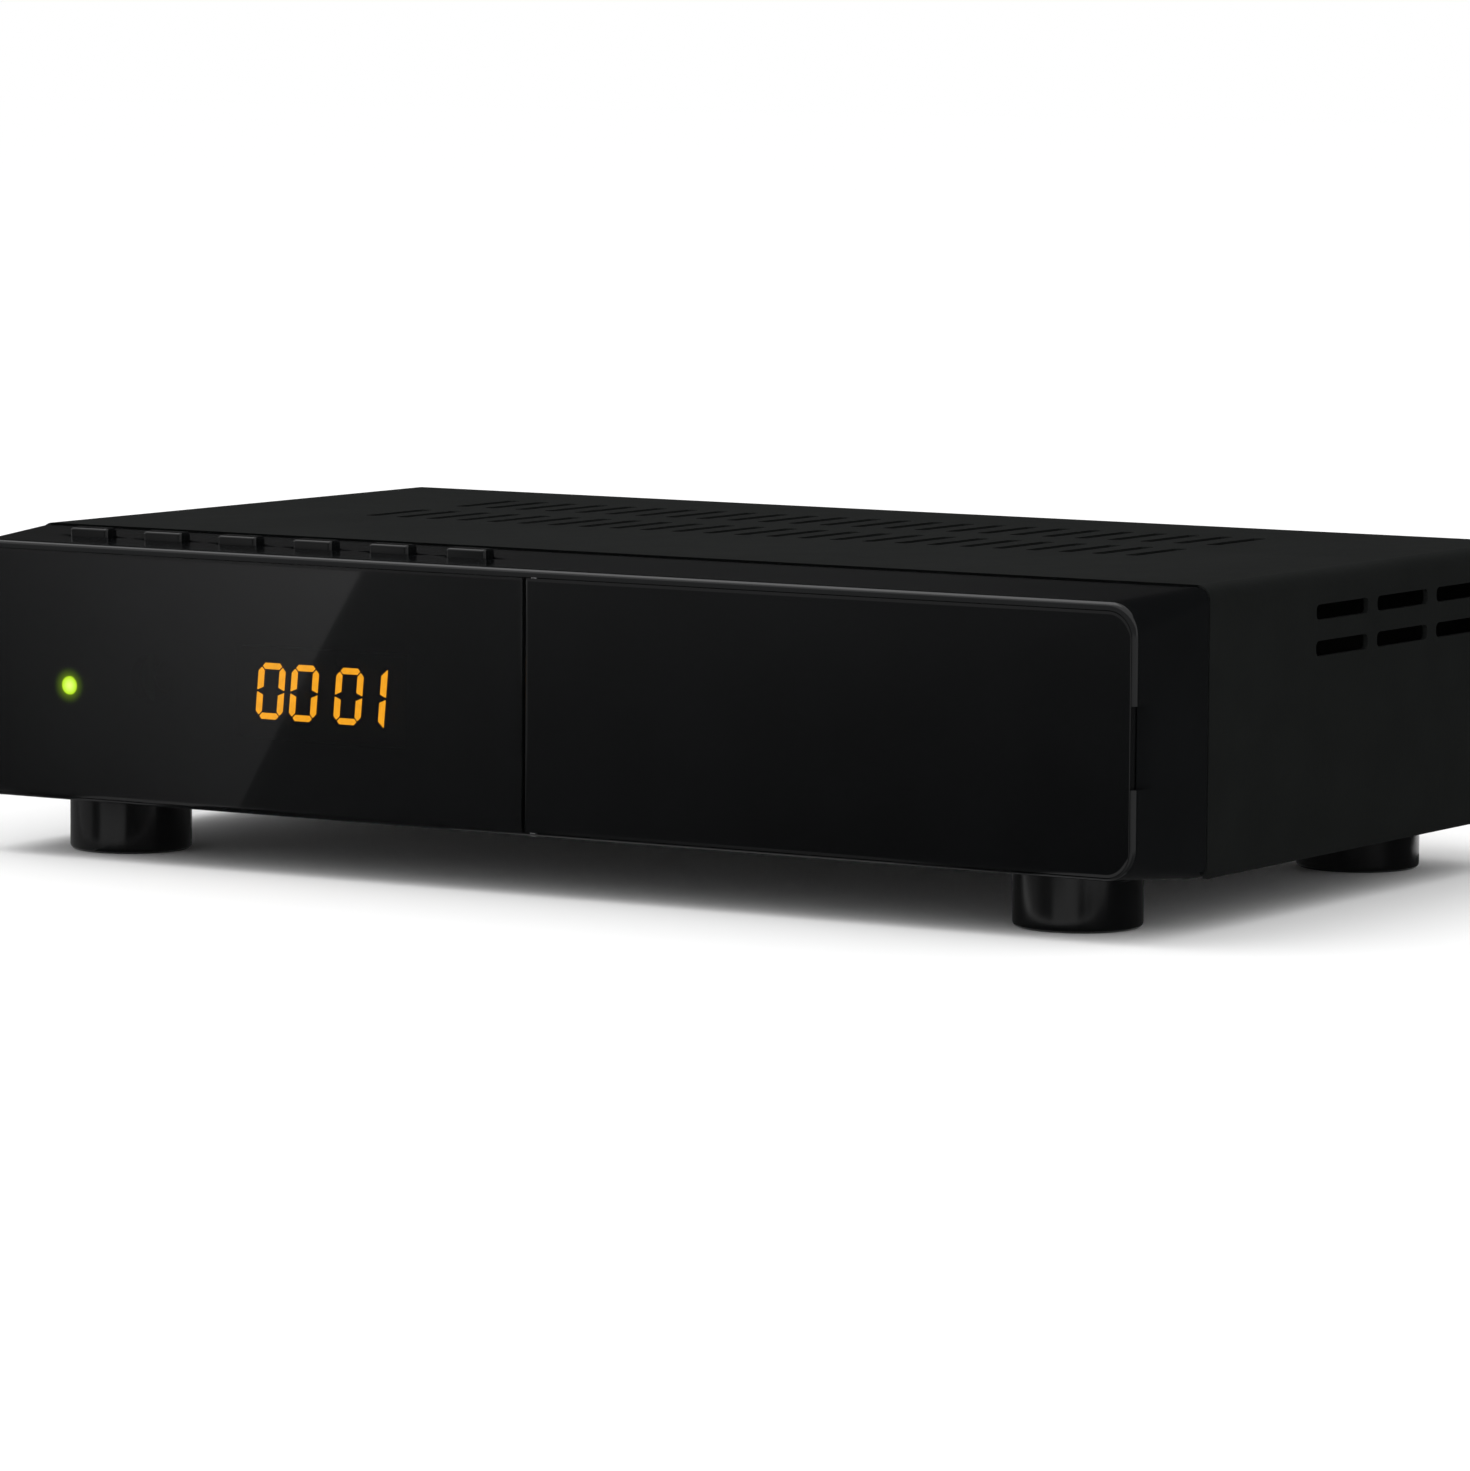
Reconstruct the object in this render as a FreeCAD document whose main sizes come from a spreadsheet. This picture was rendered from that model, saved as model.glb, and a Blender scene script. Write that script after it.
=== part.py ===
import FreeCAD, Part
import math
import os
import re

import Sketcher

# Compact satellite television receiver.
# X runs along the front, from left to right, Y runs from the front to the back and Z is up.
# The origin lies on the table, under the middle of the whole receiver, its aerial thread included.
# Millimetres and degrees throughout.

DOC = FreeCAD.newDocument("satellite_receiver")
SHEET = DOC.addObject("Spreadsheet::Sheet", "Sizes")

SIZES = (
    # whole receiver
    ("body_width", 220.0),
    ("body_depth", 130.0),
    ("body_height", 52.8),
    ("thread_reach", 11.0),
    ("sheet_wall", 0.8),
    ("cover_skirt", 1.0),
    ("slip_fit", 0.15),
    ("overcut", 1.0),
    # feet
    ("foot_radius", 10.0),
    ("foot_height", 9.3),
    ("foot_inset_x", 20.6),
    ("foot_inset_y", 18.4),
    ("foot_round", 0.8),
    ("foot_well_radius", 4.2),
    ("foot_well_depth", 5.0),
    # front bezel
    ("bezel_depth", 21.0),
    ("bezel_inset", 0.74),
    ("deck_drop", 1.25),
    ("chin_rise", 1.3),
    ("front_corner", 5.0),
    ("seam_corner", 2.3),
    ("edge_depth", 0.8),
    ("edge_top", 0.75),
    ("edge_side", 0.4),
    ("edge_bottom", 0.2),
    ("rim_top", 1.3),
    ("rim_side", 0.95),
    ("rim_bottom", 0.45),
    ("bezel_wall", 2.0),
    ("hollow_corner", 1.5),
    ("seam_gap", 0.35),
    ("tongue_length", 5.0),
    ("tongue_wall", 1.5),
    ("belly_lip", 1.6),
    # panels in the bezel
    ("panel_thick", 2.0),
    ("panel_gap", 0.15),
    ("panel_bevel", 0.3),
    ("centre_gap", 0.36),
    ("flap_rest", 0.15),
    # flap hinge and catch
    ("pin_radius", 0.6),
    ("pin_run", 0.06),
    ("pin_inset", 1.42),
    ("pin_length", 3.4),
    ("pin_seat", 0.8),
    ("flap_edge_round", 0.85),
    ("relief_width", 5.2),
    ("relief_extra", 1.0),
    ("catch_inset", 4.0),
    ("catch_thick", 1.0),
    ("catch_tall", 8.0),
    ("catch_stand", 1.4),
    ("catch_play", 0.6),
    ("notch_drop", 0.3),
    ("notch_tall", 12.5),
    ("notch_radius", 4.2),
    ("notch_out", 2.6),
    ("notch_back", 0.6),
    # bay behind the flap
    ("bay_inset", 9.26),
    ("bay_side", 4.5),
    ("bay_sill", 4.75),
    ("bay_lintel", 18.25),
    ("bay_depth", 9.0),
    ("bay_wall", 1.8),
    ("bay_corner", 1.5),
    # deck buttons
    ("button_count", 6),
    ("button_inset", 18.96),
    ("button_pitch", 14.82),
    ("button_y", 9.5),
    ("button_wide", 7.7),
    ("button_deep", 3.0),
    ("button_stand", 1.4),
    ("button_round", 0.45),
    ("button_corner", 0.7),
    ("button_play", 0.2),
    ("button_travel", 0.7),
    ("slit_reach", 2.65),
    ("slit_root", 0.9),
    ("slit_tip", 0.35),
    ("flange_wide", 11.4),
    ("flange_deep", 5.0),
    ("flange_thick", 1.2),
    ("flange_gap", 0.2),
    ("stem_long", 3.7),
    ("stem_wide", 3.4),
    ("stem_deep", 2.4),
    ("plunger_radius", 1.7),
    ("plunger_stand", 1.3),
    ("plunger_sunk", 1.0),
    ("plunger_play", 0.3),
    ("switch_wide", 6.2),
    ("switch_tall", 3.6),
    ("switch_deep", 6.0),
    # boards
    ("board_thick", 1.6),
    ("board_lift", 5.9),
    ("board_side_gap", 10.0),
    ("board_front", 16.0),
    ("board_back_gap", 3.4),
    ("front_board_y", 12.5),
    ("front_board_inset", 5.26),
    ("front_board_middle", 5.0),
    ("front_board_foot", 3.9),
    ("front_board_head", 3.55),
    ("screw_radius", 1.45),
    ("screw_head_radius", 2.8),
    ("screw_head_thick", 1.9),
    ("screw_long", 4.0),
    ("screw_stand", 1.5),
    ("standoff_radius", 3.5),
    ("boss_radius", 2.6),
    ("boss_inset", 5.0),
    ("boss_low", 4.0),
    ("boss_high", 12.0),
    ("small_screw_radius", 1.0),
    ("small_head_radius", 2.2),
    ("small_head_thick", 1.4),
    ("small_screw_long", 5.5),
    ("standoff_front_y", 30.0),
    ("standoff_back_gap", 12.0),
    ("standoff_inset", 16.0),
    ("standoff_mid_x", -6.0),
    # display and lights
    ("digit_tall", 9.7),
    ("digit_wide", 5.35),
    ("digit_bar", 1.25),
    ("digit_tip", 0.83),
    ("digit_shoulder", 1.3),
    ("digit_slant", 4.8),
    ("digit_gap", 0.3),
    ("digit_drop", 0.95),
    ("digit_first_x", -49.65),
    ("digit_pitch", 6.5),
    ("digit_pair_gap", 2.15),
    ("digit_last_pitch", 4.55),
    ("module_side", 6.65),
    ("module_margin", 2.4),
    ("module_play", 0.3),
    ("bar_thick", 0.25),
    ("light_inset", 19.56),
    ("light_drop", 2.0),
    ("light_radius", 1.5),
    ("light_flange", 2.6),
    ("light_play", 0.05),
    ("led_thick", 1.1),
    ("led_half", 1.6),
    ("eye_radius", 2.9),
    ("eye_margin", 1.2),
    ("eye_shell_half", 3.5),
    ("eye_deep", 5.0),
    ("light_collar_thick", 1.0),
    # vents
    ("vent_long", 17.5),
    ("vent_wide", 2.4),
    ("vent_count", 25),
    ("vent_pitch", 6.09),
    ("vent_middle_x", -1.5),
    ("vent_front_y", 66.0),
    ("vent_row_step", 27.0),
    ("side_vent_y", 56.1),
    ("side_vent_pitch", 20.7),
    ("side_vent_count", 3),
    ("side_vent_drop", 13.35),
    ("side_vent_step", 5.65),
    ("floor_vent_count", 11),
    ("floor_vent_pitch", 10.0),
    ("floor_vent_y", 78.0),
    ("rear_vent_count", 9),
    ("rear_vent_pitch", 5.4),
    ("rear_vent_tall", 5.0),
    ("rear_vent_rise", 2.0),
    # tray and rear lip
    ("tray_step", 1.0),
    ("flange_rise", 11.0),
    ("lip_drop", 9.0),
    ("tab_width", 11.0),
    ("tab_tall", 13.0),
    ("panel_round", 1.0),
    ("tab_rise", 2.2),
    ("lip_screw_inset", 30.0),
    ("lip_screw_drop", 5.2),
    ("tab_screw_rise", 4.5),
    # rear sockets
    ("lnb_inset", 24.0),
    ("lnb_rise", 8.4),
    ("thread_radius", 4.7),
    ("collar_radius", 5.6),
    ("collar_reach", 2.0),
    ("thread_bore", 3.4),
    ("thread_bore_depth", 6.0),
    ("contact_bore", 0.55),
    ("insulator_step", 0.6),
    ("tuner_half_wide", 13.0),
    ("tuner_deep", 36.0),
    ("tuner_tall", 15.0),
    ("tuner_lid_wall", 0.4),
    ("tuner_lid_tall", 4.0),
    ("audio_step", 20.0),
    ("audio_rise", 6.9),
    ("audio_radius", 4.15),
    ("audio_bore", 1.6),
    ("audio_reach", 9.0),
    ("audio_collar", 5.4),
    ("audio_collar_reach", 1.0),
    ("audio_body_half", 5.8),
    ("audio_body_deep", 12.0),
    ("hdmi_step", 24.0),
    ("hdmi_wide", 15.0),
    ("hdmi_tall", 5.6),
    ("hdmi_deep", 11.5),
    ("hdmi_shell", 0.4),
    ("hdmi_bevel", 1.4),
    ("hdmi_tongue_half", 0.45),
    ("ethernet_step", 24.0),
    ("ethernet_wide", 15.9),
    ("ethernet_tall", 13.4),
    ("ethernet_deep", 16.5),
    ("jack_mouth_wide", 11.9),
    ("jack_mouth_tall", 7.0),
    ("jack_mouth_deep", 13.0),
    ("latch_wide", 6.2),
    ("latch_tall", 2.6),
    ("scart_step", 45.0),
    ("scart_wide", 50.0),
    ("scart_tall", 17.0),
    ("scart_deep", 18.0),
    ("scart_rim", 1.6),
    ("scart_moat", 2.2),
    ("scart_moat_deep", 9.0),
    ("scart_bevel", 4.5),
    ("scart_slot", 1.0),
    ("scart_slot_tall", 3.4),
    ("scart_slot_pitch", 3.8),
    ("scart_slot_count", 10),
    ("scart_row_half", 2.2),
    ("power_inset", 24.0),
    ("power_rise", 6.6),
    ("power_bore", 3.1),
    ("power_bore_deep", 9.5),
    ("power_pin", 1.0),
    ("power_half_wide", 4.6),
    ("power_tall", 11.0),
    ("power_deep", 14.0),
    ("power_wall", 1.2),
    ("cutout_play", 0.3),
    # front sockets
    ("usb_inset", 10.0),
    ("usb_wide", 13.1),
    ("usb_tall", 5.8),
    ("usb_deep", 14.0),
    ("usb_sheet", 0.35),
    ("usb_tongue_thick", 1.6),
    ("card_gap", 7.45),
    ("card_play", 0.4),
    ("card_slot_wide", 55.0),
    ("card_slot_tall", 2.0),
    ("card_side", 2.5),
    ("card_reader_deep", 48.0),
    ("card_reader_tall", 7.0),
    ("card_stop", 3.0),
    # parts on the boards
    ("chip_x", -22.0),
    ("chip_y", 68.0),
    ("chip_side", 27.0),
    ("chip_thick", 2.2),
    ("sink_side", 36.0),
    ("sink_base", 2.0),
    ("sink_tall", 14.0),
    ("sink_fin", 1.2),
    ("sink_fin_count", 8),
    ("ribbon_x", -60.0),
    ("ribbon_wide", 14.0),
    ("ribbon_thick", 0.6),
    ("ribbon_bend", 5.0),
    ("ribbon_run", 3.0),
    ("plug_wide", 17.0),
    ("plug_deep", 5.0),
    ("plug_tall", 5.5),
    ("plug_rise", 1.85),
    ("memory_x", 14.0),
    ("memory_y", 66.0),
    ("memory_wide", 10.5),
    ("memory_deep", 12.0),
    ("memory_thick", 1.2),
    ("memory_pitch", 15.0),
    ("memory_count", 2),
    ("can_shift", 2.0),
    ("can_back_gap", 38.0),
    ("can_radius", 5.0),
    ("can_tall", 15.0),
    ("can_pitch", 12.0),
    ("can_count", 4),
    ("coil_shift", 4.0),
    ("coil_gap", 18.0),
    ("coil_side", 10.0),
    ("coil_tall", 5.0),
    ("coil_pitch", 14.0),
    ("coil_count", 2),
)

ALIASES = set()

# Places that follow from the sizes above.
PLACES = {
    "half_width": "body_width / 2",
    "cover_base": "foot_height - cover_skirt",
    "front_y": "-(body_depth + thread_reach) / 2",
    "rear_y": "front_y + body_depth",
    "seam_y": "front_y + bezel_depth",
    "cover_front_y": "seam_y + seam_gap",
    "tongue_back_y": "seam_y + tongue_length",
    "tray_wide_y": "tongue_back_y + tray_step",
    "half_front": "half_width - bezel_inset",
    "deck_z": "body_height - deck_drop",
    "chin_z": "cover_base + chin_rise",
    "tray_z": "foot_height",
    "tray_top": "tray_z + sheet_wall",
    "tray_half": "half_width - sheet_wall - slip_fit",
    "lip_front_y": "rear_y - sheet_wall",
    "tray_back_y": "lip_front_y - slip_fit / 2",
    "tray_panel_top": "body_height - sheet_wall - slip_fit",
    "board_z": "tray_top + board_lift",
    "board_top": "board_z + board_thick",
    "board_front_y": "front_y + board_front",
    "board_back_y": "rear_y - board_back_gap",
    "board_half": "half_width - board_side_gap",
    # panel seat in the bezel
    "seat_half": "half_front - rim_side",
    "seat_low": "chin_z + rim_bottom",
    "seat_high": "deck_z - rim_top",
    "seat_corner": "front_corner - rim_side",
    "seat_y": "front_y + panel_thick",
    "wall_back_y": "seat_y + flap_rest + bezel_wall",
    "panel_half": "seat_half - panel_gap",
    "panel_low": "seat_low + panel_gap",
    "panel_high": "seat_high - panel_gap",
    "panel_corner": "seat_corner - panel_gap",
    "flap_left": "centre_gap / 2",
    "panel_mid_z": "(seat_low + seat_high) / 2",
    "notch_low": "panel_mid_z - notch_drop - notch_tall / 2",
    "notch_high": "notch_low + notch_tall",
    # hinge
    "pin_x": "flap_left + pin_inset",
    "pin_y": "front_y + panel_thick / 2",
    # bay behind the flap, with its two sockets
    "bay_right": "half_front - bay_inset",
    "usb_x": "bay_right - usb_inset",
    "card_reader_half": "card_slot_wide / 2 + card_side",
    "card_x": "usb_x - usb_wide / 2 - card_gap - card_reader_half",
    "bay_left": "card_x - card_slot_wide / 2 - bay_side",
    "bay_low": "seat_low + bay_sill",
    "bay_high": "seat_high - bay_lintel",
    "bay_back_y": "front_y + bay_depth",
    "bay_wall_back_y": "bay_back_y + bay_wall",
    # buttons
    "button_first_x": "-(half_front - button_inset)",
    "button_line_y": "front_y + button_y",
    "deck_at_button": "deck_z + deck_drop * (button_y - edge_depth) / (bezel_depth - edge_depth)",
    "button_top": "deck_at_button + button_stand",
    "flange_top": "deck_z - bezel_wall - flange_gap + deck_drop * (button_y - flange_deep / 2) / bezel_depth",
    "flange_low": "flange_top - flange_thick",
    "plunger_top": "flange_low - stem_long",
    "switch_top": "plunger_top - plunger_stand",
    # front board
    "board_face_y": "front_y + front_board_y",
    "board_rear_face_y": "board_face_y + board_thick",
    "front_board_left": "-(half_front - front_board_inset)",
    "front_board_right": "-front_board_middle",
    "front_board_low": "tray_top + front_board_foot",
    "front_board_high": "deck_z - bezel_wall - front_board_head",
    # display, status light and remote control eye
    "digit_mid_z": "panel_mid_z - digit_drop",
    "digit_last_x": "digit_first_x + 2 * digit_pitch + digit_pair_gap + digit_last_pitch",
    "module_left": "digit_first_x - module_side",
    "module_right": "digit_last_x + module_side",
    "module_low": "digit_mid_z - digit_tall / 2 - module_margin",
    "module_high": "digit_mid_z + digit_tall / 2 + module_margin",
    "module_front_y": "seat_y + module_play",
    "light_x": "-(half_front - light_inset)",
    "light_z": "panel_mid_z - light_drop",
    "eye_x": "(light_x + module_left) / 2",
    # cover
    "side_vent_low": "body_height - side_vent_drop",
    "tab_low": "cover_base + tab_rise",
    "tab_screw_z": "tab_low + tab_screw_rise",
    "lip_screw_x": "half_width - lip_screw_inset",
    # rear sockets, from right to left
    "panel_in_y": "tray_back_y - sheet_wall",
    "lnb_x": "half_width - lnb_inset",
    "lnb_z": "board_top + lnb_rise",
    "audio_x": "lnb_x - audio_step",
    "audio_z": "board_top + audio_rise",
    "hdmi_x": "audio_x - hdmi_step",
    "ethernet_x": "hdmi_x - ethernet_step",
    "scart_x": "ethernet_x - scart_step",
    "power_x": "-(half_width - power_inset)",
    "power_z": "board_top + power_rise",
    # places on the main board
    "plug_z": "panel_mid_z + plug_rise",
    "can_x": "power_x + can_shift",
    "can_line_y": "rear_y - can_back_gap",
    "coil_x": "power_x + coil_shift",
    "coil_line_y": "can_line_y - coil_gap",
    "card_mouth_z": "board_top + card_reader_tall / 2",
    "usb_mouth_z": "board_top + usb_tall / 2",
}


def fill_sheet():
    """Write every driving size into the sheet under its own alias."""
    for row, (alias, value) in enumerate(SIZES, start=1):
        SHEET.set(f"A{row}", alias)
        SHEET.set(f"B{row}", str(value))
        SHEET.setAlias(f"B{row}", alias)
        ALIASES.add(alias)
    DOC.recompute()


def bind(formula):
    """Spell a formula out for the document: places become formulas, aliases become cells."""

    def swap(match):
        word = match.group(0)
        if word in PLACES:
            return "(" + bind(PLACES[word]) + ")"
        if word in ALIASES:
            return "Sizes." + word
        return word

    return re.sub(r"[A-Za-z_][A-Za-z_0-9]*", swap, str(formula))


def size(formula):
    """The number that a formula gives now."""
    return float(SHEET.evalExpression(bind(formula)))


def add(a, b):
    return f"({a}) + ({b})"


def less(a, b):
    return f"({a}) - ({b})"


# ---- Part primitives and booleans ----


def block(name, x, y, z):
    """A box between the low and high formulas of x, y and z."""
    box = DOC.addObject("Part::Box", name)
    for side, place, (low, high) in zip(("Length", "Width", "Height"), "xyz", (x, y, z)):
        box.setExpression(side, bind(less(high, low)))
        box.setExpression("Placement.Base." + place, bind(low))
    return box


def around(centre, half):
    """Low and high formulas of a span that is centred."""
    return less(centre, half), add(centre, half)


TURNS = {
    "x": FreeCAD.Rotation(FreeCAD.Vector(0, 1, 0), 90),
    "y": FreeCAD.Rotation(FreeCAD.Vector(1, 0, 0), -90),
    "z": FreeCAD.Rotation(),
}


def drum(name, axis, centre, radius, span):
    """A cylinder along an axis; centre holds the two other coordinates, in X, Y, Z order."""
    cylinder = DOC.addObject("Part::Cylinder", name)
    cylinder.Placement = FreeCAD.Placement(FreeCAD.Vector(), TURNS[axis])
    cylinder.setExpression("Radius", bind(radius))
    cylinder.setExpression("Height", bind(less(span[1], span[0])))
    places = dict(zip([letter for letter in "xyz" if letter != axis], centre))
    places[axis] = span[0]
    for letter, formula in places.items():
        cylinder.setExpression("Placement.Base." + letter, bind(formula))
    return cylinder


def fuse(name, parts):
    joined = DOC.addObject("Part::MultiFuse", name)
    joined.Shapes = list(parts)
    joined.Refine = True
    return joined


def group(name, solids):
    """Separate solids kept in one sub-part."""
    kept = DOC.addObject("Part::Compound", name)
    kept.Links = list(solids)
    return kept


def cut(name, base, tools):
    """The base without its tools, which may be one or several."""
    cutter = tools[0] if len(tools) == 1 else group(name + "_tools", tools)
    result = DOC.addObject("Part::Cut", name)
    result.Base = base
    result.Tool = cutter
    return result


# ---- PartDesign bodies ----


def new_body(label):
    return DOC.addObject("PartDesign::Body", label)


def origin_feature(body, role):
    return next(item for item in body.Origin.OriginFeatures if item.Role == role)


def sketch_at(body, plane, level):
    """An empty sketch on XY at a height, on XZ at a depth Y, or on YZ at an X."""
    sketch = body.newObject("Sketcher::SketchObject", body.Name + "_sketch")
    sketch.AttachmentSupport = [(origin_feature(body, plane + "_Plane"), "")]
    sketch.MapMode = "FlatFace"
    lift = f"-({level})" if plane == "XZ" else level
    sketch.setExpression("AttachmentOffset.Base.z", bind(lift))
    return sketch


def hold(sketch, constraint, formula):
    """Add a named dimension and bind it to its formula."""
    index = sketch.addConstraint(constraint)
    name = f"size{index}"
    sketch.renameConstraint(index, name)
    sketch.setExpression("Constraints." + name, bind(formula))


def draw_polygon(sketch, points):
    """A closed outline with straight sides; each corner is a pair of formulas."""
    corners = [FreeCAD.Vector(size(x), size(y), 0) for x, y in points]
    lines = [Part.LineSegment(a, b) for a, b in zip(corners, corners[1:] + corners[:1])]
    first = sketch.GeometryCount
    sketch.addGeometry(lines, False)
    count = len(points)
    for i, (x, y) in enumerate(points):
        following = first + (i + 1) % count
        sketch.addConstraint(Sketcher.Constraint("Coincident", first + i, 2, following, 1))
        hold(sketch, Sketcher.Constraint("DistanceX", first + i, 1, size(x)), x)
        hold(sketch, Sketcher.Constraint("DistanceY", first + i, 1, size(y)), y)


def turn_arc(spot, run_in, run_out, radius):
    """The quarter arc that rounds a corner, and whether it turns to the left."""
    centre = spot - run_in * radius + run_out * radius
    left = run_in.x * run_out.y - run_in.y * run_out.x > 0
    toward = run_out * -1 if left else run_in
    start = math.atan2(toward.y, toward.x)
    circle = Part.Circle(centre, FreeCAD.Vector(0, 0, 1), radius)
    return Part.ArcOfCircle(circle, start, start + math.pi / 2), left


def draw_outline(sketch, corners):
    """A closed outline of level and upright sides; each corner is x, y and its radius or None."""
    count = len(corners)
    spots = [FreeCAD.Vector(size(x), size(y), 0) for x, y, _ in corners]
    radii = [size(radius) if radius else 0 for _, _, radius in corners]
    runs = [(spots[(i + 1) % count] - spots[i]).normalize() for i in range(count)]
    first = sketch.GeometryCount
    for i in range(count):
        after = (i + 1) % count
        start = spots[i] + runs[i] * radii[i]
        end = spots[after] - runs[i] * radii[after]
        sketch.addGeometry(Part.LineSegment(start, end), False)
    for i, (x, y, radius) in enumerate(corners):
        before = first + (i - 1) % count
        line = first + i
        if radius:
            arc, left = turn_arc(spots[i], runs[i - 1], runs[i], radii[i])
            index = sketch.addGeometry(arc, False)
            sketch.addConstraint(Sketcher.Constraint("Tangent", before, 2, index, 1 if left else 2))
            sketch.addConstraint(Sketcher.Constraint("Tangent", index, 2 if left else 1, line, 1))
            hold(sketch, Sketcher.Constraint("Radius", index, radii[i]), radius)
        else:
            sketch.addConstraint(Sketcher.Constraint("Coincident", before, 2, line, 1))
        if abs(runs[i].y) < 0.5:
            sketch.addConstraint(Sketcher.Constraint("Horizontal", line))
            hold(sketch, Sketcher.Constraint("DistanceY", line, 1, spots[i].y), y)
        else:
            sketch.addConstraint(Sketcher.Constraint("Vertical", line))
            hold(sketch, Sketcher.Constraint("DistanceX", line, 1, spots[i].x), x)


def draw_rounded(sketch, across, along, corner):
    """A rectangle whose four corners have one radius, or none."""
    left, right = across
    low, high = along
    spots = [(left, low), (right, low), (right, high), (left, high)]
    draw_outline(sketch, [(x, y, corner) for x, y in spots])


def draw_rectangle(sketch, across, along):
    draw_rounded(sketch, across, along, None)


def draw_circle(sketch, x, y, radius):
    centre = FreeCAD.Vector(size(x), size(y), 0)
    circle = Part.Circle(centre, FreeCAD.Vector(0, 0, 1), size(radius))
    index = sketch.addGeometry(circle, False)
    hold(sketch, Sketcher.Constraint("Radius", index, size(radius)), radius)
    hold(sketch, Sketcher.Constraint("DistanceX", index, 3, size(x)), x)
    hold(sketch, Sketcher.Constraint("DistanceY", index, 3, size(y)), y)


def pad(body, sketch, length, reverse=False):
    """Pads go up from XY, to the front from XZ and to the right from YZ, unless reversed."""
    feature = body.newObject("PartDesign::Pad", body.Name + "_pad")
    feature.Profile = sketch
    feature.setExpression("Length", bind(length))
    feature.Reversed = reverse
    DOC.recompute()
    return feature


def pocket(body, sketch, depth, reverse=False):
    """Pockets go down from XY, to the back from XZ and to the left from YZ, unless reversed."""
    before = body.Tip.Shape.Volume
    feature = body.newObject("PartDesign::Pocket", body.Name + "_pocket")
    feature.Profile = sketch
    feature.setExpression("Length", bind(depth))
    feature.Reversed = reverse
    DOC.recompute()
    if not feature.Shape.Volume < before:
        raise RuntimeError(f"a pocket of {body.Label} cuts nothing")
    return feature


def repeat(body, feature, axis, pitch, count):
    """Copies of one feature in a row along an axis of the body."""
    pattern = body.newObject("PartDesign::LinearPattern", body.Name + "_row")
    pattern.Originals = [feature]
    pattern.Direction = (origin_feature(body, axis + "_Axis"), [""])
    pattern.setExpression("Length", bind(f"({pitch}) * (({count}) - 1)"))
    pattern.setExpression("Occurrences", bind(count))
    body.Tip = pattern
    DOC.recompute()
    return pattern


def edges_where(shape, axis, test):
    """Names of the edges along an axis, or of any edges, whose end points pass a test."""
    names = []
    for number, edge in enumerate(shape.Edges, start=1):
        ends = [vertex.Point for vertex in edge.Vertexes]
        run = ends[-1] - ends[0]
        along = axis is None or abs(getattr(run, axis)) > 0.99 * edge.Length
        if along and all(test(point) for point in ends):
            names.append(f"Edge{number}")
    return names


def dress(body, kind, radius, axis, test):
    """A fillet or chamfer on the edges along an axis that pass a test."""
    base = body.Tip
    names = edges_where(base.Shape, axis, test)
    if not names:
        raise RuntimeError(f"no edge of {body.Label} fits the {kind}")
    feature = body.newObject("PartDesign::" + kind, body.Name + "_" + kind.lower())
    feature.Base = (base, names)
    feature.setExpression("Radius" if kind == "Fillet" else "Size", bind(radius))
    DOC.recompute()
    return feature


def near(number, formula, slack=0.01):
    return abs(number - size(formula)) < slack


# ---- casings ----


def at_depth(start, gain, depth):
    """A bezel dimension that changes evenly from behind the rounded front edge to the seam."""
    return f"({start}) + ({gain}) * (({depth}) - edge_depth) / (bezel_depth - edge_depth)"


def bezel_section(body, depth, inset_side, inset_top, inset_bottom, corner=None):
    """One closed outline of the bezel at a depth behind the front face, drawn in by the insets."""
    half = less(at_depth("half_front", "bezel_inset", depth), inset_side)
    low = add(at_depth("chin_z", "-chin_rise", depth), inset_bottom)
    high = less(at_depth("deck_z", "deck_drop", depth), inset_top)
    if corner is None:
        corner = less(at_depth("front_corner", "seam_corner - front_corner", depth), inset_side)
    sketch = sketch_at(body, "XZ", add("front_y", depth))
    draw_rounded(sketch, (f"-({half})", half), (low, high), corner)
    return sketch


def loft(body, kind, sections):
    feature = body.newObject("PartDesign::" + kind, body.Name + "_loft")
    feature.Profile = sections[0]
    feature.Sections = sections[1:]
    feature.Ruled = True
    DOC.recompute()


def button_opening(sketch):
    """Outline of one deck opening: a snug box for the cap with a tapering slit at each side."""
    x = "button_first_x"
    y = "button_line_y"
    half = "button_wide / 2 + button_play"
    deep = "button_deep / 2 + button_play"
    reach = add(half, "slit_reach")
    quarter = [(reach, "slit_tip"), (half, "slit_root"), (half, deep)]
    points = [(add(x, px), add(y, py)) for px, py in quarter]
    points += [(less(x, px), add(y, py)) for px, py in reversed(quarter)]
    points += [(less(x, px), less(y, py)) for px, py in quarter]
    points += [(add(x, px), less(y, py)) for px, py in reversed(quarter)]
    draw_polygon(sketch, points)


def board_boss_places():
    """X and Z of the four bosses that carry the front board."""
    left = "front_board_left + boss_inset"
    right = "front_board_right - boss_inset"
    low = "front_board_low + boss_low"
    high = "front_board_high - boss_high"
    return [(left, low), (right, low), (left, high), (right, high)]


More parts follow.
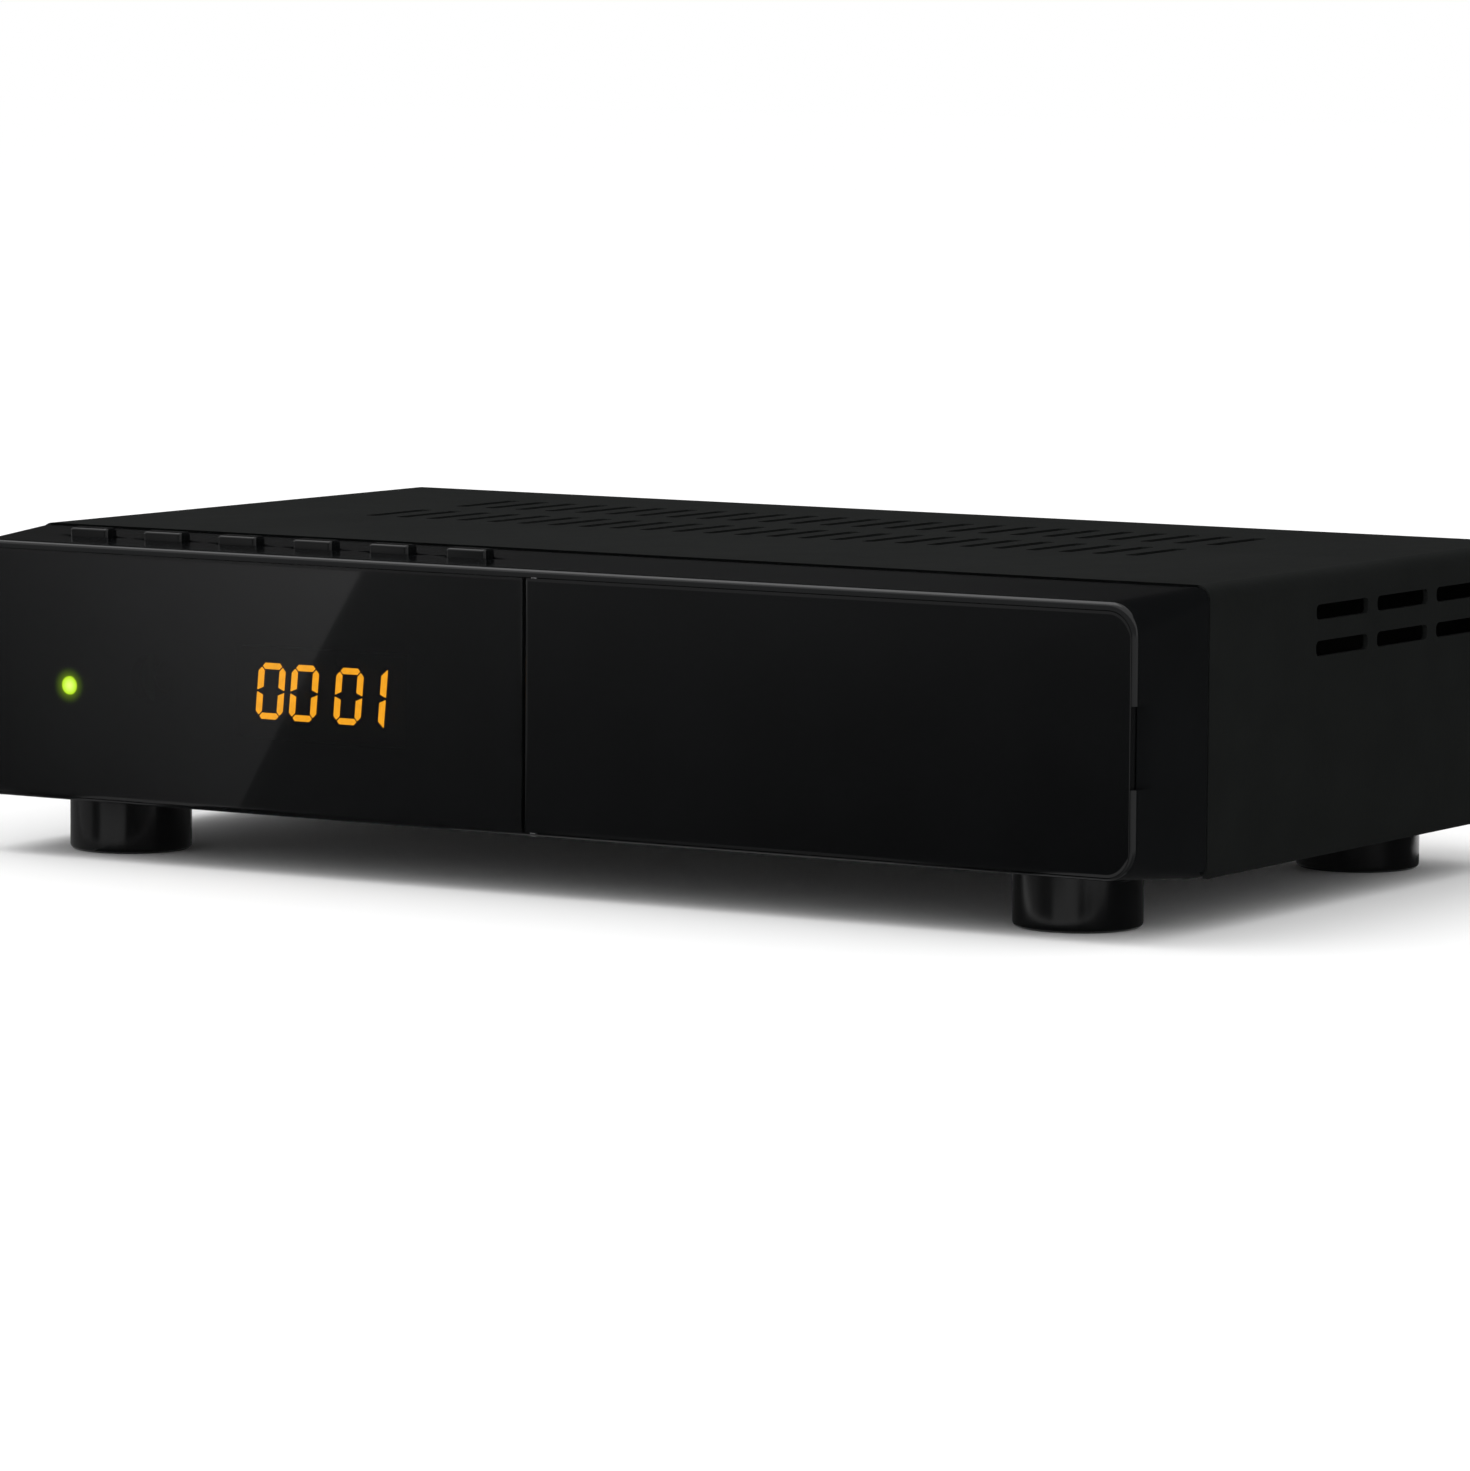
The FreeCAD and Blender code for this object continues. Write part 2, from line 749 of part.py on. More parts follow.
def make_front_bezel():
    """Moulded front: lofted shell, panel seat, deck openings, flap bay, bosses and finger notch."""
    body = new_body("front_bezel")
    steps = 3
    sections = []
    for step in range(steps + 1):
        angle = 90 * step / steps
        depth = f"edge_depth * (1 - cos({angle}))"
        insets = [f"{edge} * (1 - sin({angle}))" for edge in ("edge_side", "edge_top", "edge_bottom")]
        sections.append(bezel_section(body, depth, *insets))
    sections.append(bezel_section(body, "bezel_depth", "0", "0", "0"))
    loft(body, "AdditiveLoft", sections)
    walls = ["bezel_wall"] * 3
    depths = ("panel_thick + flap_rest + bezel_wall", "bezel_depth")
    loft(body, "SubtractiveLoft", [bezel_section(body, depth, *walls, "hollow_corner") for depth in depths])

    tongue = sketch_at(body, "XZ", "tongue_back_y")
    outer_half = "half_width - sheet_wall - slip_fit"
    outer_top = "body_height - sheet_wall - slip_fit"
    outer_corner = "seam_corner - sheet_wall"
    draw_rounded(tongue, (f"-({outer_half})", outer_half), ("cover_base", outer_top), outer_corner)
    inner_half = less(outer_half, "tongue_wall")
    inner_z = ("cover_base + tongue_wall", less(outer_top, "tongue_wall"))
    draw_rectangle(tongue, (f"-({inner_half})", inner_half), inner_z)
    pad(body, tongue, "tongue_length + bezel_wall")

    seat = sketch_at(body, "XZ", "front_y")
    draw_rounded(seat, ("-seat_half", "seat_half"), ("seat_low", "seat_high"), "seat_corner")
    pocket(body, seat, "panel_thick")
    flap_seat = sketch_at(body, "XZ", "front_y")
    flap_corners = [
        ("-centre_gap / 2", "seat_low", None),
        ("seat_half", "seat_low", "seat_corner"),
        ("seat_half", "seat_high", "seat_corner"),
        ("-centre_gap / 2", "seat_high", None),
    ]
    draw_outline(flap_seat, flap_corners)
    pocket(body, flap_seat, "panel_thick + flap_rest")
    relief = sketch_at(body, "XZ", "front_y")
    draw_rectangle(relief, ("-centre_gap / 2", "relief_width"), ("seat_low", "seat_high"))
    pocket(body, relief, "panel_thick + relief_extra")

    tub = sketch_at(body, "XZ", "bay_wall_back_y")
    tub_across = ("bay_left - bay_wall", "bay_right + bay_wall")
    draw_rectangle(tub, tub_across, ("bay_low - bay_wall", "bay_high + bay_wall"))
    pad(body, tub, "bay_wall_back_y - wall_back_y + bezel_wall / 2")
    bay = sketch_at(body, "XZ", "front_y")
    draw_rounded(bay, ("bay_left", "bay_right"), ("bay_low", "bay_high"), "bay_corner")
    pocket(body, bay, "bay_depth")

    mouths = sketch_at(body, "XZ", "bay_back_y - overcut")
    card_across = around("card_x", "card_slot_wide / 2")
    draw_rectangle(mouths, card_across, around("card_mouth_z", "card_slot_tall / 2 + card_play"))
    usb_across = around("usb_x", "usb_wide / 2 + cutout_play")
    draw_rectangle(mouths, usb_across, around("usb_mouth_z", "usb_tall / 2 + cutout_play"))
    pocket(body, mouths, "bay_wall + 2 * overcut")

    windows = sketch_at(body, "XZ", "front_y")
    module_across = ("module_left - module_play", "module_right + module_play")
    draw_rectangle(windows, module_across, ("module_low - module_play", "module_high + module_play"))
    draw_circle(windows, "light_x", "light_z", "light_radius + light_play")
    draw_circle(windows, "eye_x", "panel_mid_z", "eye_radius + eye_margin")
    pocket(body, windows, "panel_thick + flap_rest + bezel_wall + overcut")

    catch = sketch_at(body, "XZ", "front_y")
    catch_across = around("panel_half - catch_inset", "catch_thick / 2 + catch_play")
    draw_rectangle(catch, catch_across, around("panel_mid_z", "catch_tall / 2 + catch_play"))
    pocket(body, catch, "panel_thick + flap_rest + bezel_wall + overcut")

    opening = sketch_at(body, "XY", "body_height + overcut")
    button_opening(opening)
    first = pocket(body, opening, "deck_drop + bezel_wall + 2 * overcut")
    repeat(body, first, "X", "button_pitch", "button_count")

    posts = sketch_at(body, "XZ", "board_face_y")
    for x, z in board_boss_places():
        draw_circle(posts, x, z, "boss_radius")
    pad(body, posts, "board_face_y - wall_back_y + bezel_wall / 2")
    holes = sketch_at(body, "XZ", "board_face_y - small_screw_long")
    for x, z in board_boss_places():
        draw_circle(holes, x, z, "small_screw_radius")
    pocket(body, holes, "small_screw_long + overcut")

    notch = sketch_at(body, "XY", "notch_high")
    draw_circle(notch, "half_front + notch_out", "front_y + notch_back", "notch_radius")
    pocket(body, notch, "notch_tall")

    pin_top = sketch_at(body, "XY", "seat_high + pin_seat")
    draw_circle(pin_top, "pin_x", "pin_y", "pin_radius")
    pocket(body, pin_top, "pin_seat + panel_gap")
    pin_low = sketch_at(body, "XY", "seat_low + panel_gap")
    draw_circle(pin_low, "pin_x", "pin_y", "pin_radius")
    pocket(body, pin_low, "rim_bottom + overcut")

    belly = sketch_at(body, "XY", "bay_low - bay_wall - slip_fit * 2")
    belly_half = "half_width - bezel_wall - belly_lip"
    draw_rectangle(belly, (f"-({belly_half})", belly_half), ("wall_back_y", "tongue_back_y + overcut"))
    pocket(body, belly, "bay_low")
    return body


def make_display_window():
    """Smoked panel of the left half, bonded to the seat."""
    body = new_body("display_window")
    face = sketch_at(body, "XZ", "seat_y")
    draw_rectangle(face, ("-panel_half", "-centre_gap / 2"), ("panel_low", "panel_high"))
    pad(body, face, "panel_thick")
    dress(body, "Fillet", "panel_corner", "y", lambda p: near(p.x, "-panel_half"))
    dress(body, "Chamfer", "panel_bevel", None, lambda p: near(p.y, "front_y"))
    return body


def make_flap_door():
    """Glossy flap of the right half: round hinge edge, pin holes and catch nose."""
    body = new_body("flap_door")
    face = sketch_at(body, "XZ", "seat_y")
    draw_rectangle(face, ("flap_left", "panel_half"), ("panel_low", "panel_high"))
    pad(body, face, "panel_thick")
    dress(body, "Fillet", "panel_corner", "y", lambda p: near(p.x, "panel_half"))
    dress(body, "Chamfer", "panel_bevel", None, lambda p: near(p.y, "front_y") and p.x > size("pin_x"))
    dress(body, "Fillet", "flap_edge_round", "z", lambda p: near(p.x, "flap_left"))
    for level, reverse in (("panel_high - pin_length + pin_seat", True), ("panel_low", True)):
        hole = sketch_at(body, "XY", level)
        draw_circle(hole, "pin_x", "pin_y", "pin_radius + pin_run")
        pocket(body, hole, "pin_length", reverse)
    nose = sketch_at(body, "XZ", "seat_y + catch_stand")
    nose_across = around("panel_half - catch_inset", "catch_thick / 2")
    draw_rectangle(nose, nose_across, around("panel_mid_z", "catch_tall / 2"))
    pad(body, nose, "catch_stand + panel_thick / 2")
    return body


def make_hinge_pins():
    """Two steel pins pressed into the rim, which the flap turns on."""
    top = drum("hinge_pin_top", "z", ("pin_x", "pin_y"), "pin_radius",
               ("seat_high + pin_seat - pin_length", "seat_high + pin_seat"))
    low = drum("hinge_pin_low", "z", ("pin_x", "pin_y"), "pin_radius",
               ("chin_z", "chin_z + pin_length"))
    return group("flap_hinge_pins", [top, low])


def make_top_cover():
    """Bent sheet steel cover: U profile, two rows of top vents, side vents, rear lip and tabs."""
    body = new_body("top_cover")
    half, wall, corner = "half_width", "sheet_wall", "seam_corner"
    inner = less(corner, wall)
    profile = sketch_at(body, "XZ", "rear_y")
    outside = [(f"-{half}", "cover_base", None), (f"-{half}", "body_height", corner),
               (half, "body_height", corner), (half, "cover_base", None)]
    inside = [(less(half, wall), "cover_base", None), (less(half, wall), "body_height - sheet_wall", inner),
              (f"-({half} - {wall})", "body_height - sheet_wall", inner),
              (f"-({half} - {wall})", "cover_base", None)]
    draw_outline(profile, outside + inside)
    pad(body, profile, "rear_y - cover_front_y")

    lip = sketch_at(body, "XZ", "rear_y")
    lip_half = less("half_width", "tab_width")
    lip_z = ("body_height - lip_drop", "body_height - seam_corner / 4")
    draw_rectangle(lip, (f"-({lip_half})", lip_half), lip_z)
    pad(body, lip, "sheet_wall")
    tabs = sketch_at(body, "XZ", "rear_y")
    for side in ("-1", "1"):
        ends = (f"{side} * (half_width - tab_width)", f"{side} * (half_width - sheet_wall / 2)")
        draw_rectangle(tabs, ends if side == "1" else ends[::-1], ("tab_low", "tab_low + tab_tall"))
    pad(body, tabs, "sheet_wall")

    slots = sketch_at(body, "XY", "body_height + overcut")
    first = "vent_middle_x - vent_pitch * (vent_count - 1) / 2"
    for row in ("0", "vent_row_step"):
        start = f"front_y + vent_front_y + {row}"
        across = around(first, "vent_wide / 2")
        draw_rectangle(slots, across, (start, add(start, "vent_long")))
    top_slots = pocket(body, slots, "sheet_wall + 2 * overcut")
    repeat(body, top_slots, "X", "vent_pitch", "vent_count")

    slots = sketch_at(body, "YZ", "half_width + overcut")
    start = "front_y + side_vent_y"
    for row in ("0", "side_vent_step"):
        low = f"side_vent_low + {row}"
        draw_rectangle(slots, (start, add(start, "vent_long")), (low, add(low, "vent_wide")))
    side_slots = pocket(body, slots, "body_width + 2 * overcut")
    repeat(body, side_slots, "Y", "side_vent_pitch", "side_vent_count")

    holes = sketch_at(body, "XZ", "rear_y - sheet_wall - overcut")
    for x, z in cover_screw_places():
        draw_circle(holes, x, z, "screw_radius")
    pocket(body, holes, "sheet_wall + 2 * overcut")
    return body


def cover_screw_places():
    """X and Z of the screws that hold the cover to the rear panel."""
    lip_z = "body_height - lip_screw_drop"
    tab_x = "half_width - tab_width / 2"
    places = [("-lip_screw_x", lip_z), ("0", lip_z), ("lip_screw_x", lip_z)]
    return places + [(f"-({tab_x})", "tab_screw_z"), (tab_x, "tab_screw_z")]


def make_cover_screws():
    """Pan head screws through the rear lip and tabs into the rear panel."""
    screws = []
    for number, (x, z) in enumerate(cover_screw_places(), start=1):
        head = drum(f"cover_screw_head_{number}", "y", (x, z), "screw_head_radius",
                    ("rear_y", "rear_y + screw_head_thick"))
        shank = drum(f"cover_screw_shank_{number}", "y", (x, z), "screw_radius",
                     ("rear_y - screw_long", "rear_y"))
        screws.append(fuse(f"cover_screw_{number}", [head, shank]))
    return group("cover_screws", screws)


def standoff_places():
    """X and Y of the six pillars that carry the main board."""
    front, back = "front_y + standoff_front_y", "rear_y - standoff_back_gap"
    side = "half_width - standoff_inset"
    return [
        (f"-({side})", front),
        ("standoff_mid_x", front),
        (side, front),
        ("(power_x + power_half_wide + scart_x - scart_wide / 2) / 2", back),
        ("(scart_x + scart_wide / 2 + ethernet_x - ethernet_wide / 2) / 2", back),
        ("(hdmi_x + hdmi_wide / 2 + audio_x - audio_body_half) / 2", back),
    ]


def foot_places():
    """X and Y of each foot, with the name of its corner."""
    x = "half_width - foot_inset_x"
    front, back = "front_y + foot_inset_y", "rear_y - foot_inset_y"
    return [("front_left", f"-({x})", front), ("front_right", x, front),
            ("rear_left", f"-({x})", back), ("rear_right", x, back)]


def socket_box(x, half, low, tall):
    """Cut-out of a square socket in the rear panel."""
    across = around(x, add(half, "cutout_play"))
    return across, (less(low, "cutout_play"), f"{low} + {tall} + cutout_play")


def make_base_chassis():
    """Bent tray: floor with vents, side flanges, rear panel with its cut-outs and board pillars."""
    body = new_body("base_chassis")
    floor = sketch_at(body, "XY", "tray_z")
    narrow = "half_width - bezel_wall - belly_lip - slip_fit * 6"
    front, step, back = "wall_back_y + slip_fit", "tray_wide_y", "tray_back_y"
    corners = [(f"-({narrow})", front), (narrow, front), (narrow, step), ("tray_half", step),
               ("tray_half", back), ("-tray_half", back), ("-tray_half", step), (f"-({narrow})", step)]
    draw_outline(floor, [(x, y, None) for x, y in corners])
    pad(body, floor, "sheet_wall")
    flanges = sketch_at(body, "XY", "tray_z")
    draw_rectangle(flanges, ("-tray_half", "-(tray_half - sheet_wall)"), (step, back))
    draw_rectangle(flanges, ("tray_half - sheet_wall", "tray_half"), (step, back))
    pad(body, flanges, "flange_rise")
    panel = sketch_at(body, "XZ", back)
    draw_rounded(panel, ("-tray_half", "tray_half"), ("tray_z", "tray_panel_top"), "panel_round")
    pad(body, panel, "sheet_wall")
    pillars = sketch_at(body, "XY", "tray_top")
    for x, y in standoff_places():
        draw_circle(pillars, x, y, "standoff_radius")
    pad(body, pillars, "board_lift")
    taps = sketch_at(body, "XY", "board_z")
    for x, y in standoff_places():
        draw_circle(taps, x, y, "screw_radius")
    pocket(body, taps, "board_lift - sheet_wall")

    holes = sketch_at(body, "XY", "tray_top")
    for _, x, y in foot_places():
        draw_circle(holes, x, y, "screw_radius")
    pocket(body, holes, "sheet_wall + overcut")
    vents = sketch_at(body, "XY", "tray_top")
    first = "-floor_vent_pitch * (floor_vent_count - 1) / 2"
    draw_rectangle(vents, around(first, "vent_wide / 2"), around("front_y + floor_vent_y", "vent_long"))
    slot = pocket(body, vents, "sheet_wall + overcut")
    repeat(body, slot, "X", "floor_vent_pitch", "floor_vent_count")

    mouths = sketch_at(body, "XZ", "panel_in_y - overcut")
    draw_rectangle(mouths, *socket_box("scart_x", "scart_wide / 2", "board_top", "scart_tall"))
    draw_rectangle(mouths, *socket_box("ethernet_x", "ethernet_wide / 2", "board_top", "ethernet_tall"))
    draw_rectangle(mouths, *socket_box("hdmi_x", "hdmi_wide / 2", "board_top", "hdmi_tall"))
    draw_circle(mouths, "power_x", "power_z", "power_bore + power_wall")
    draw_circle(mouths, "audio_x", "audio_z", "audio_collar + cutout_play")
    draw_circle(mouths, "lnb_x", "lnb_z", "collar_radius + cutout_play")
    for x, z in cover_screw_places():
        draw_circle(mouths, x, z, "screw_radius")
    pocket(body, mouths, "sheet_wall + 2 * overcut")
    vents = sketch_at(body, "XZ", "panel_in_y - overcut")
    low = "board_top + scart_tall + rear_vent_rise"
    draw_rectangle(vents, around("scart_x - rear_vent_pitch * (rear_vent_count - 1) / 2", "vent_wide / 2"),
                   (low, add(low, "rear_vent_tall")))
    slot = pocket(body, vents, "sheet_wall + 2 * overcut")
    repeat(body, slot, "X", "rear_vent_pitch", "rear_vent_count")
    return body


def make_foot(name, x, y):
    """Round moulded foot with a screw well in its underside."""
    body = new_body("foot_" + name)
    disc = sketch_at(body, "XY", "0")
    draw_circle(disc, "0", "0", "foot_radius")
    pad(body, disc, "foot_height")
    dress(body, "Chamfer", "foot_round", None, lambda p: near(p.z, "0"))
    well = sketch_at(body, "XY", "foot_well_depth")
    draw_circle(well, "0", "0", "foot_well_radius")
    pocket(body, well, "foot_well_depth + overcut")
    hole = sketch_at(body, "XY", "foot_height")
    draw_circle(hole, "0", "0", "screw_radius")
    pocket(body, hole, "foot_height - foot_well_depth + overcut")
    body.setExpression("Placement.Base.x", bind(x))
    body.setExpression("Placement.Base.y", bind(y))
    return body


def make_foot_screws():
    """Pan head screws that hold the feet to the tray."""
    screws = []
    for name, x, y in foot_places():
        head = drum(f"foot_screw_head_{name}", "z", (x, y), "screw_head_radius",
                    ("foot_well_depth - screw_head_thick", "foot_well_depth"))
        shank = drum(f"foot_screw_shank_{name}", "z", (x, y), "screw_radius",
                     ("foot_well_depth", "tray_top + screw_stand"))
        screws.append(fuse(f"foot_screw_{name}", [head, shank]))
    return group("foot_screws", screws)


def button_x(number):
    return f"button_first_x + {number - 1} * button_pitch"


def make_button(number):
    """Deck button: rounded cap, hidden flange that stops it under the deck, and stem."""
    body = new_body(f"button_{number}")
    x = button_x(number)
    cap = sketch_at(body, "XY", "flange_low")
    cap_deep = around("button_line_y", "button_deep / 2")
    draw_rounded(cap, around(x, "button_wide / 2"), cap_deep, "button_corner")
    pad(body, cap, "button_top - flange_low")
    dress(body, "Fillet", "button_round", None, lambda p: near(p.z, "button_top"))
    flange = sketch_at(body, "XY", "flange_low")
    draw_rectangle(flange, around(x, "flange_wide / 2"), around("button_line_y", "flange_deep / 2"))
    pad(body, flange, "flange_thick")
    stem = sketch_at(body, "XY", "plunger_top")
    draw_rectangle(stem, around(x, "stem_wide / 2"), around("button_line_y", "stem_deep / 2"))
    pad(body, stem, "flange_low - plunger_top + flange_thick / 2")
    return body


def make_plunger(number):
    """Plunger of a tact switch, pressed down by the button's stem."""
    return drum(f"plunger_{number}", "z", (button_x(number), "button_line_y"), "plunger_radius",
                ("switch_top - plunger_sunk", "plunger_top"))


def make_key_switches():
    """Tact switch housings on the front board, each open at the top for its plunger."""
    switches = []
    depth = "plunger_sunk + button_travel + plunger_play"
    for number in range(1, int(size("button_count")) + 1):
        x = button_x(number)
        along = ("board_face_y - switch_deep", "board_face_y")
        shell = block(f"switch_shell_{number}", around(x, "switch_wide / 2"), along,
                      ("switch_top - switch_tall", "switch_top"))
        well = drum(f"switch_well_{number}", "z", (x, "button_line_y"), "plunger_radius + plunger_play",
                    (f"switch_top - ({depth})", "switch_top + overcut"))
        switches.append(cut(f"switch_{number}", shell, [well]))
    return group("key_switches", switches)


def make_front_board():
    """Circuit board of the keys and the display, screwed to the bosses of the bezel."""
    plate = block("front_board_plate", ("front_board_left", "front_board_right"),
                  ("board_face_y", "board_rear_face_y"), ("front_board_low", "front_board_high"))
    holes = [drum(f"front_board_hole_{number}", "y", (x, z), "small_screw_radius",
                  ("board_face_y - overcut", "board_rear_face_y + overcut"))
             for number, (x, z) in enumerate(board_boss_places(), start=1)]
    return cut("front_board", plate, holes)


def make_front_board_screws():
    screws = []
    for number, (x, z) in enumerate(board_boss_places(), start=1):
        head = drum(f"front_screw_head_{number}", "y", (x, z), "small_head_radius",
                    ("board_rear_face_y", "board_rear_face_y + small_head_thick"))
        shank = drum(f"front_screw_shank_{number}", "y", (x, z), "small_screw_radius",
                     ("board_face_y - small_screw_long", "board_rear_face_y"))
        screws.append(fuse(f"front_screw_{number}", [head, shank]))
    return group("front_board_screws", screws)


def make_display_module():
    """Block of the four digit display, seated on the front board."""
    return block("display_module", ("module_left", "module_right"), ("module_front_y", "board_face_y"),
                 ("module_low", "module_high"))


def zero_bars():
    """Corner points of the six bars of the numeral 0, from its middle, before the slant."""
    half, tall = "digit_wide / 2", "digit_tall / 2"
    tip = less(half, "digit_tip")
    level = less(tall, "digit_bar / 2")
    flat = less(half, "digit_shoulder")
    lower = less(tall, "digit_bar")
    bars = []
    for turn in ("1", "-1"):
        level_bar = [(tip, level), (flat, tall), (f"-({flat})", tall), (f"-({tip})", level),
                     (f"-({flat})", lower), (flat, lower)]
        bars.append([(u, f"{turn} * ({v})") for u, v in level_bar])
    apex = (add(tip, "digit_gap * 0.6"), less(level, "digit_gap * 0.6"))
    upright = [(half, "digit_gap / 2"), (half, f"{apex[1]} - (digit_tip - digit_gap * 0.6)"), apex,
               (less(half, "digit_bar"), f"{lower} - digit_gap / 2"),
               (less(half, "digit_bar"), "digit_bar / 2")]
    for side in ("1", "-1"):
        for turn in ("1", "-1"):
            bars.append([(f"{side} * ({u})", f"{turn} * ({v})") for u, v in upright])
    return bars


def one_bars():
    """Corner points of the two bars of the numeral 1, which end in points."""
    half, tall = "digit_wide / 2", "digit_tall / 2"
    inner = less(half, "digit_bar")
    upright = [(half, "digit_gap / 2"), (half, tall), (inner, f"{tall} - digit_bar * 0.8"),
               (inner, "digit_bar / 2")]
    return [[(u, f"{turn} * ({v})") for u, v in upright] for turn in ("1", "-1")]


def make_lit_segments():
    """Lit bars of the display, which shows 0001."""
    body = new_body("lit_segments")
    body.AllowCompound = True
    pair = "2 * digit_pitch + digit_pair_gap"
    places = [("0 * digit_pitch", zero_bars()), ("digit_pitch", zero_bars()), (pair, zero_bars()),
              (f"{pair} + digit_last_pitch", one_bars())]
    for place, bars in places:
        numeral = sketch_at(body, "XZ", "module_front_y")
        for bar in bars:
            points = [(f"digit_first_x + ({place}) + ({u}) + ({v}) * tan(digit_slant)", f"digit_mid_z + ({v})")
                      for u, v in bar]
            draw_polygon(numeral, points)
        pad(body, numeral, "bar_thick")
    return body


def make_status_led():
    return block("status_led", around("light_x", "led_half"), ("board_face_y - led_thick", "board_face_y"),
                 around("light_z", "led_half"))


def make_light_guide():
    """Clear rod that carries the green light to the window, with a collar behind the wall."""
    rod = drum("light_rod", "y", ("light_x", "light_z"), "light_radius",
               ("seat_y + light_play", "board_face_y - led_thick - light_play"))
    collar = drum("light_collar", "y", ("light_x", "light_z"), "light_flange",
                  ("wall_back_y", "wall_back_y + light_collar_thick"))
    return fuse("led_light_guide", [rod, collar])


def make_ir_receiver():
    """Remote control eye: a small housing with a domed lens."""
    shell = block("eye_shell", around("eye_x", "eye_shell_half"),
                  ("board_face_y - eye_deep", "board_face_y"),
                  around("panel_mid_z", "eye_shell_half + eye_margin"))
    lens = DOC.addObject("Part::Sphere", "eye_lens")
    lens.setExpression("Radius", bind("eye_radius"))
    lens.setExpression("Placement.Base.x", bind("eye_x"))
    lens.setExpression("Placement.Base.y", bind("board_face_y - eye_deep"))
    lens.setExpression("Placement.Base.z", bind("panel_mid_z"))
    return fuse("ir_receiver", [shell, lens])


def make_main_board():
    """Main circuit board on its six pillars."""
    plate = block("main_board_plate", ("-board_half", "board_half"), ("board_front_y", "board_back_y"),
                  ("board_z", "board_top"))
    holes = [drum(f"main_board_hole_{number}", "z", place, "screw_radius",
                  ("board_z - overcut", "board_top + overcut"))
             for number, place in enumerate(standoff_places(), start=1)]
    return cut("main_board", plate, holes)


def make_board_screws():
    screws = []
    for number, place in enumerate(standoff_places(), start=1):
        head = drum(f"board_screw_head_{number}", "z", place, "screw_head_radius",
                    ("board_top", "board_top + screw_head_thick"))
        shank = drum(f"board_screw_shank_{number}", "z", place, "screw_radius",
                     ("board_z - board_lift + sheet_wall", "board_top"))
        screws.append(fuse(f"board_screw_{number}", [head, shank]))
    return group("board_screws", screws)


def make_ribbon_cable():
    """Flat cable from the back of the front board, over one bend and down to the main board."""
    body = new_body("ribbon_cable")
    half = "ribbon_thick / 2"
    bend = "ribbon_bend"
    start = "board_rear_face_y + plug_deep"
    level = "plug_z"
    drop = f"{start} + ribbon_run + {bend}"
    strip = sketch_at(body, "YZ", "ribbon_x - ribbon_wide / 2")
    corners = [
        (start, add(level, half), None),
        (add(drop, half), add(level, half), add(bend, half)),
        (add(drop, half), "board_top + plug_tall", None),
        (less(drop, half), "board_top + plug_tall", None),
        (less(drop, half), less(level, half), less(bend, half)),
        (start, less(level, half), None),
    ]
    draw_outline(strip, corners)
    pad(body, strip, "ribbon_wide")
    return body


def make_ribbon_connectors():
    across = around("ribbon_x", "plug_wide / 2")
    front = block("ribbon_connector_front", across, ("board_rear_face_y", "board_rear_face_y + plug_deep"),
                  around("plug_z", "plug_tall / 2"))
    drop = "board_rear_face_y + plug_deep + ribbon_run + ribbon_bend"
    main = block("ribbon_connector_main", across, around(drop, "plug_deep / 2"),
                 ("board_top", "board_top + plug_tall"))
    return group("ribbon_connectors", [front, main])


def make_main_chip():
    return block("main_chip", around("chip_x", "chip_side / 2"), around("front_y + chip_y", "chip_side / 2"),
                 ("board_top", "board_top + chip_thick"))


def make_heat_sink():
    """Extruded aluminium heat sink with upright fins on the main chip."""
    body = new_body("heat_sink")
    base_z = "board_top + chip_thick"
    across = around("chip_x", "sink_side / 2")
    along = around("front_y + chip_y", "sink_side / 2")
    plate = sketch_at(body, "XY", base_z)
    draw_rectangle(plate, across, along)
    pad(body, plate, "sink_base")
    fin = sketch_at(body, "XY", base_z)
    draw_rectangle(fin, (across[0], add(across[0], "sink_fin")), along)
    blade = pad(body, fin, "sink_tall")
    repeat(body, blade, "X", "(sink_side - sink_fin) / (sink_fin_count - 1)", "sink_fin_count")
    return body


def make_memory_chips():
    chips = []
    for number in range(int(size("memory_count"))):
        y = f"front_y + memory_y + {number} * memory_pitch"
        chips.append(block(f"memory_{number + 1}", around("memory_x", "memory_wide / 2"),
                           around(y, "memory_deep / 2"), ("board_top", "board_top + memory_thick")))
    return group("memory_chips", chips)


def make_capacitors():
    """Upright electrolytic capacitors of the power supply."""
    cans = []
    for number in range(int(size("can_count"))):
        place = (f"can_x + {number} * can_pitch", "can_line_y")
        cans.append(drum(f"capacitor_{number + 1}", "z", place, "can_radius",
                         ("board_top", "board_top + can_tall")))
    return group("capacitors", cans)


def make_inductors():
    coils = []
    for number in range(int(size("coil_count"))):
        x = f"coil_x + {number} * coil_pitch"
        coils.append(block(f"inductor_{number + 1}", around(x, "coil_side / 2"),
                           around("coil_line_y", "coil_side / 2"), ("board_top", "board_top + coil_tall")))
    return group("inductors", coils)


def make_tuner_can():
    """Screened tuner box behind the aerial socket, with its pressed lid."""
    across = around("lnb_x", "tuner_half_wide")
    back = "panel_in_y - cutout_play"
    along = (less(back, "tuner_deep"), back)
    shell = block("tuner_shell", across, along, ("board_top", "board_top + tuner_tall"))
    lid_across = around("lnb_x", "tuner_half_wide + tuner_lid_wall")
    lid_along = (f"{along[0]} - tuner_lid_wall", back)
    lid = block("tuner_lid", lid_across, lid_along,
                ("board_top + tuner_tall - tuner_lid_tall", "board_top + tuner_tall + tuner_lid_wall"))
    return fuse("tuner_can", [shell, lid])


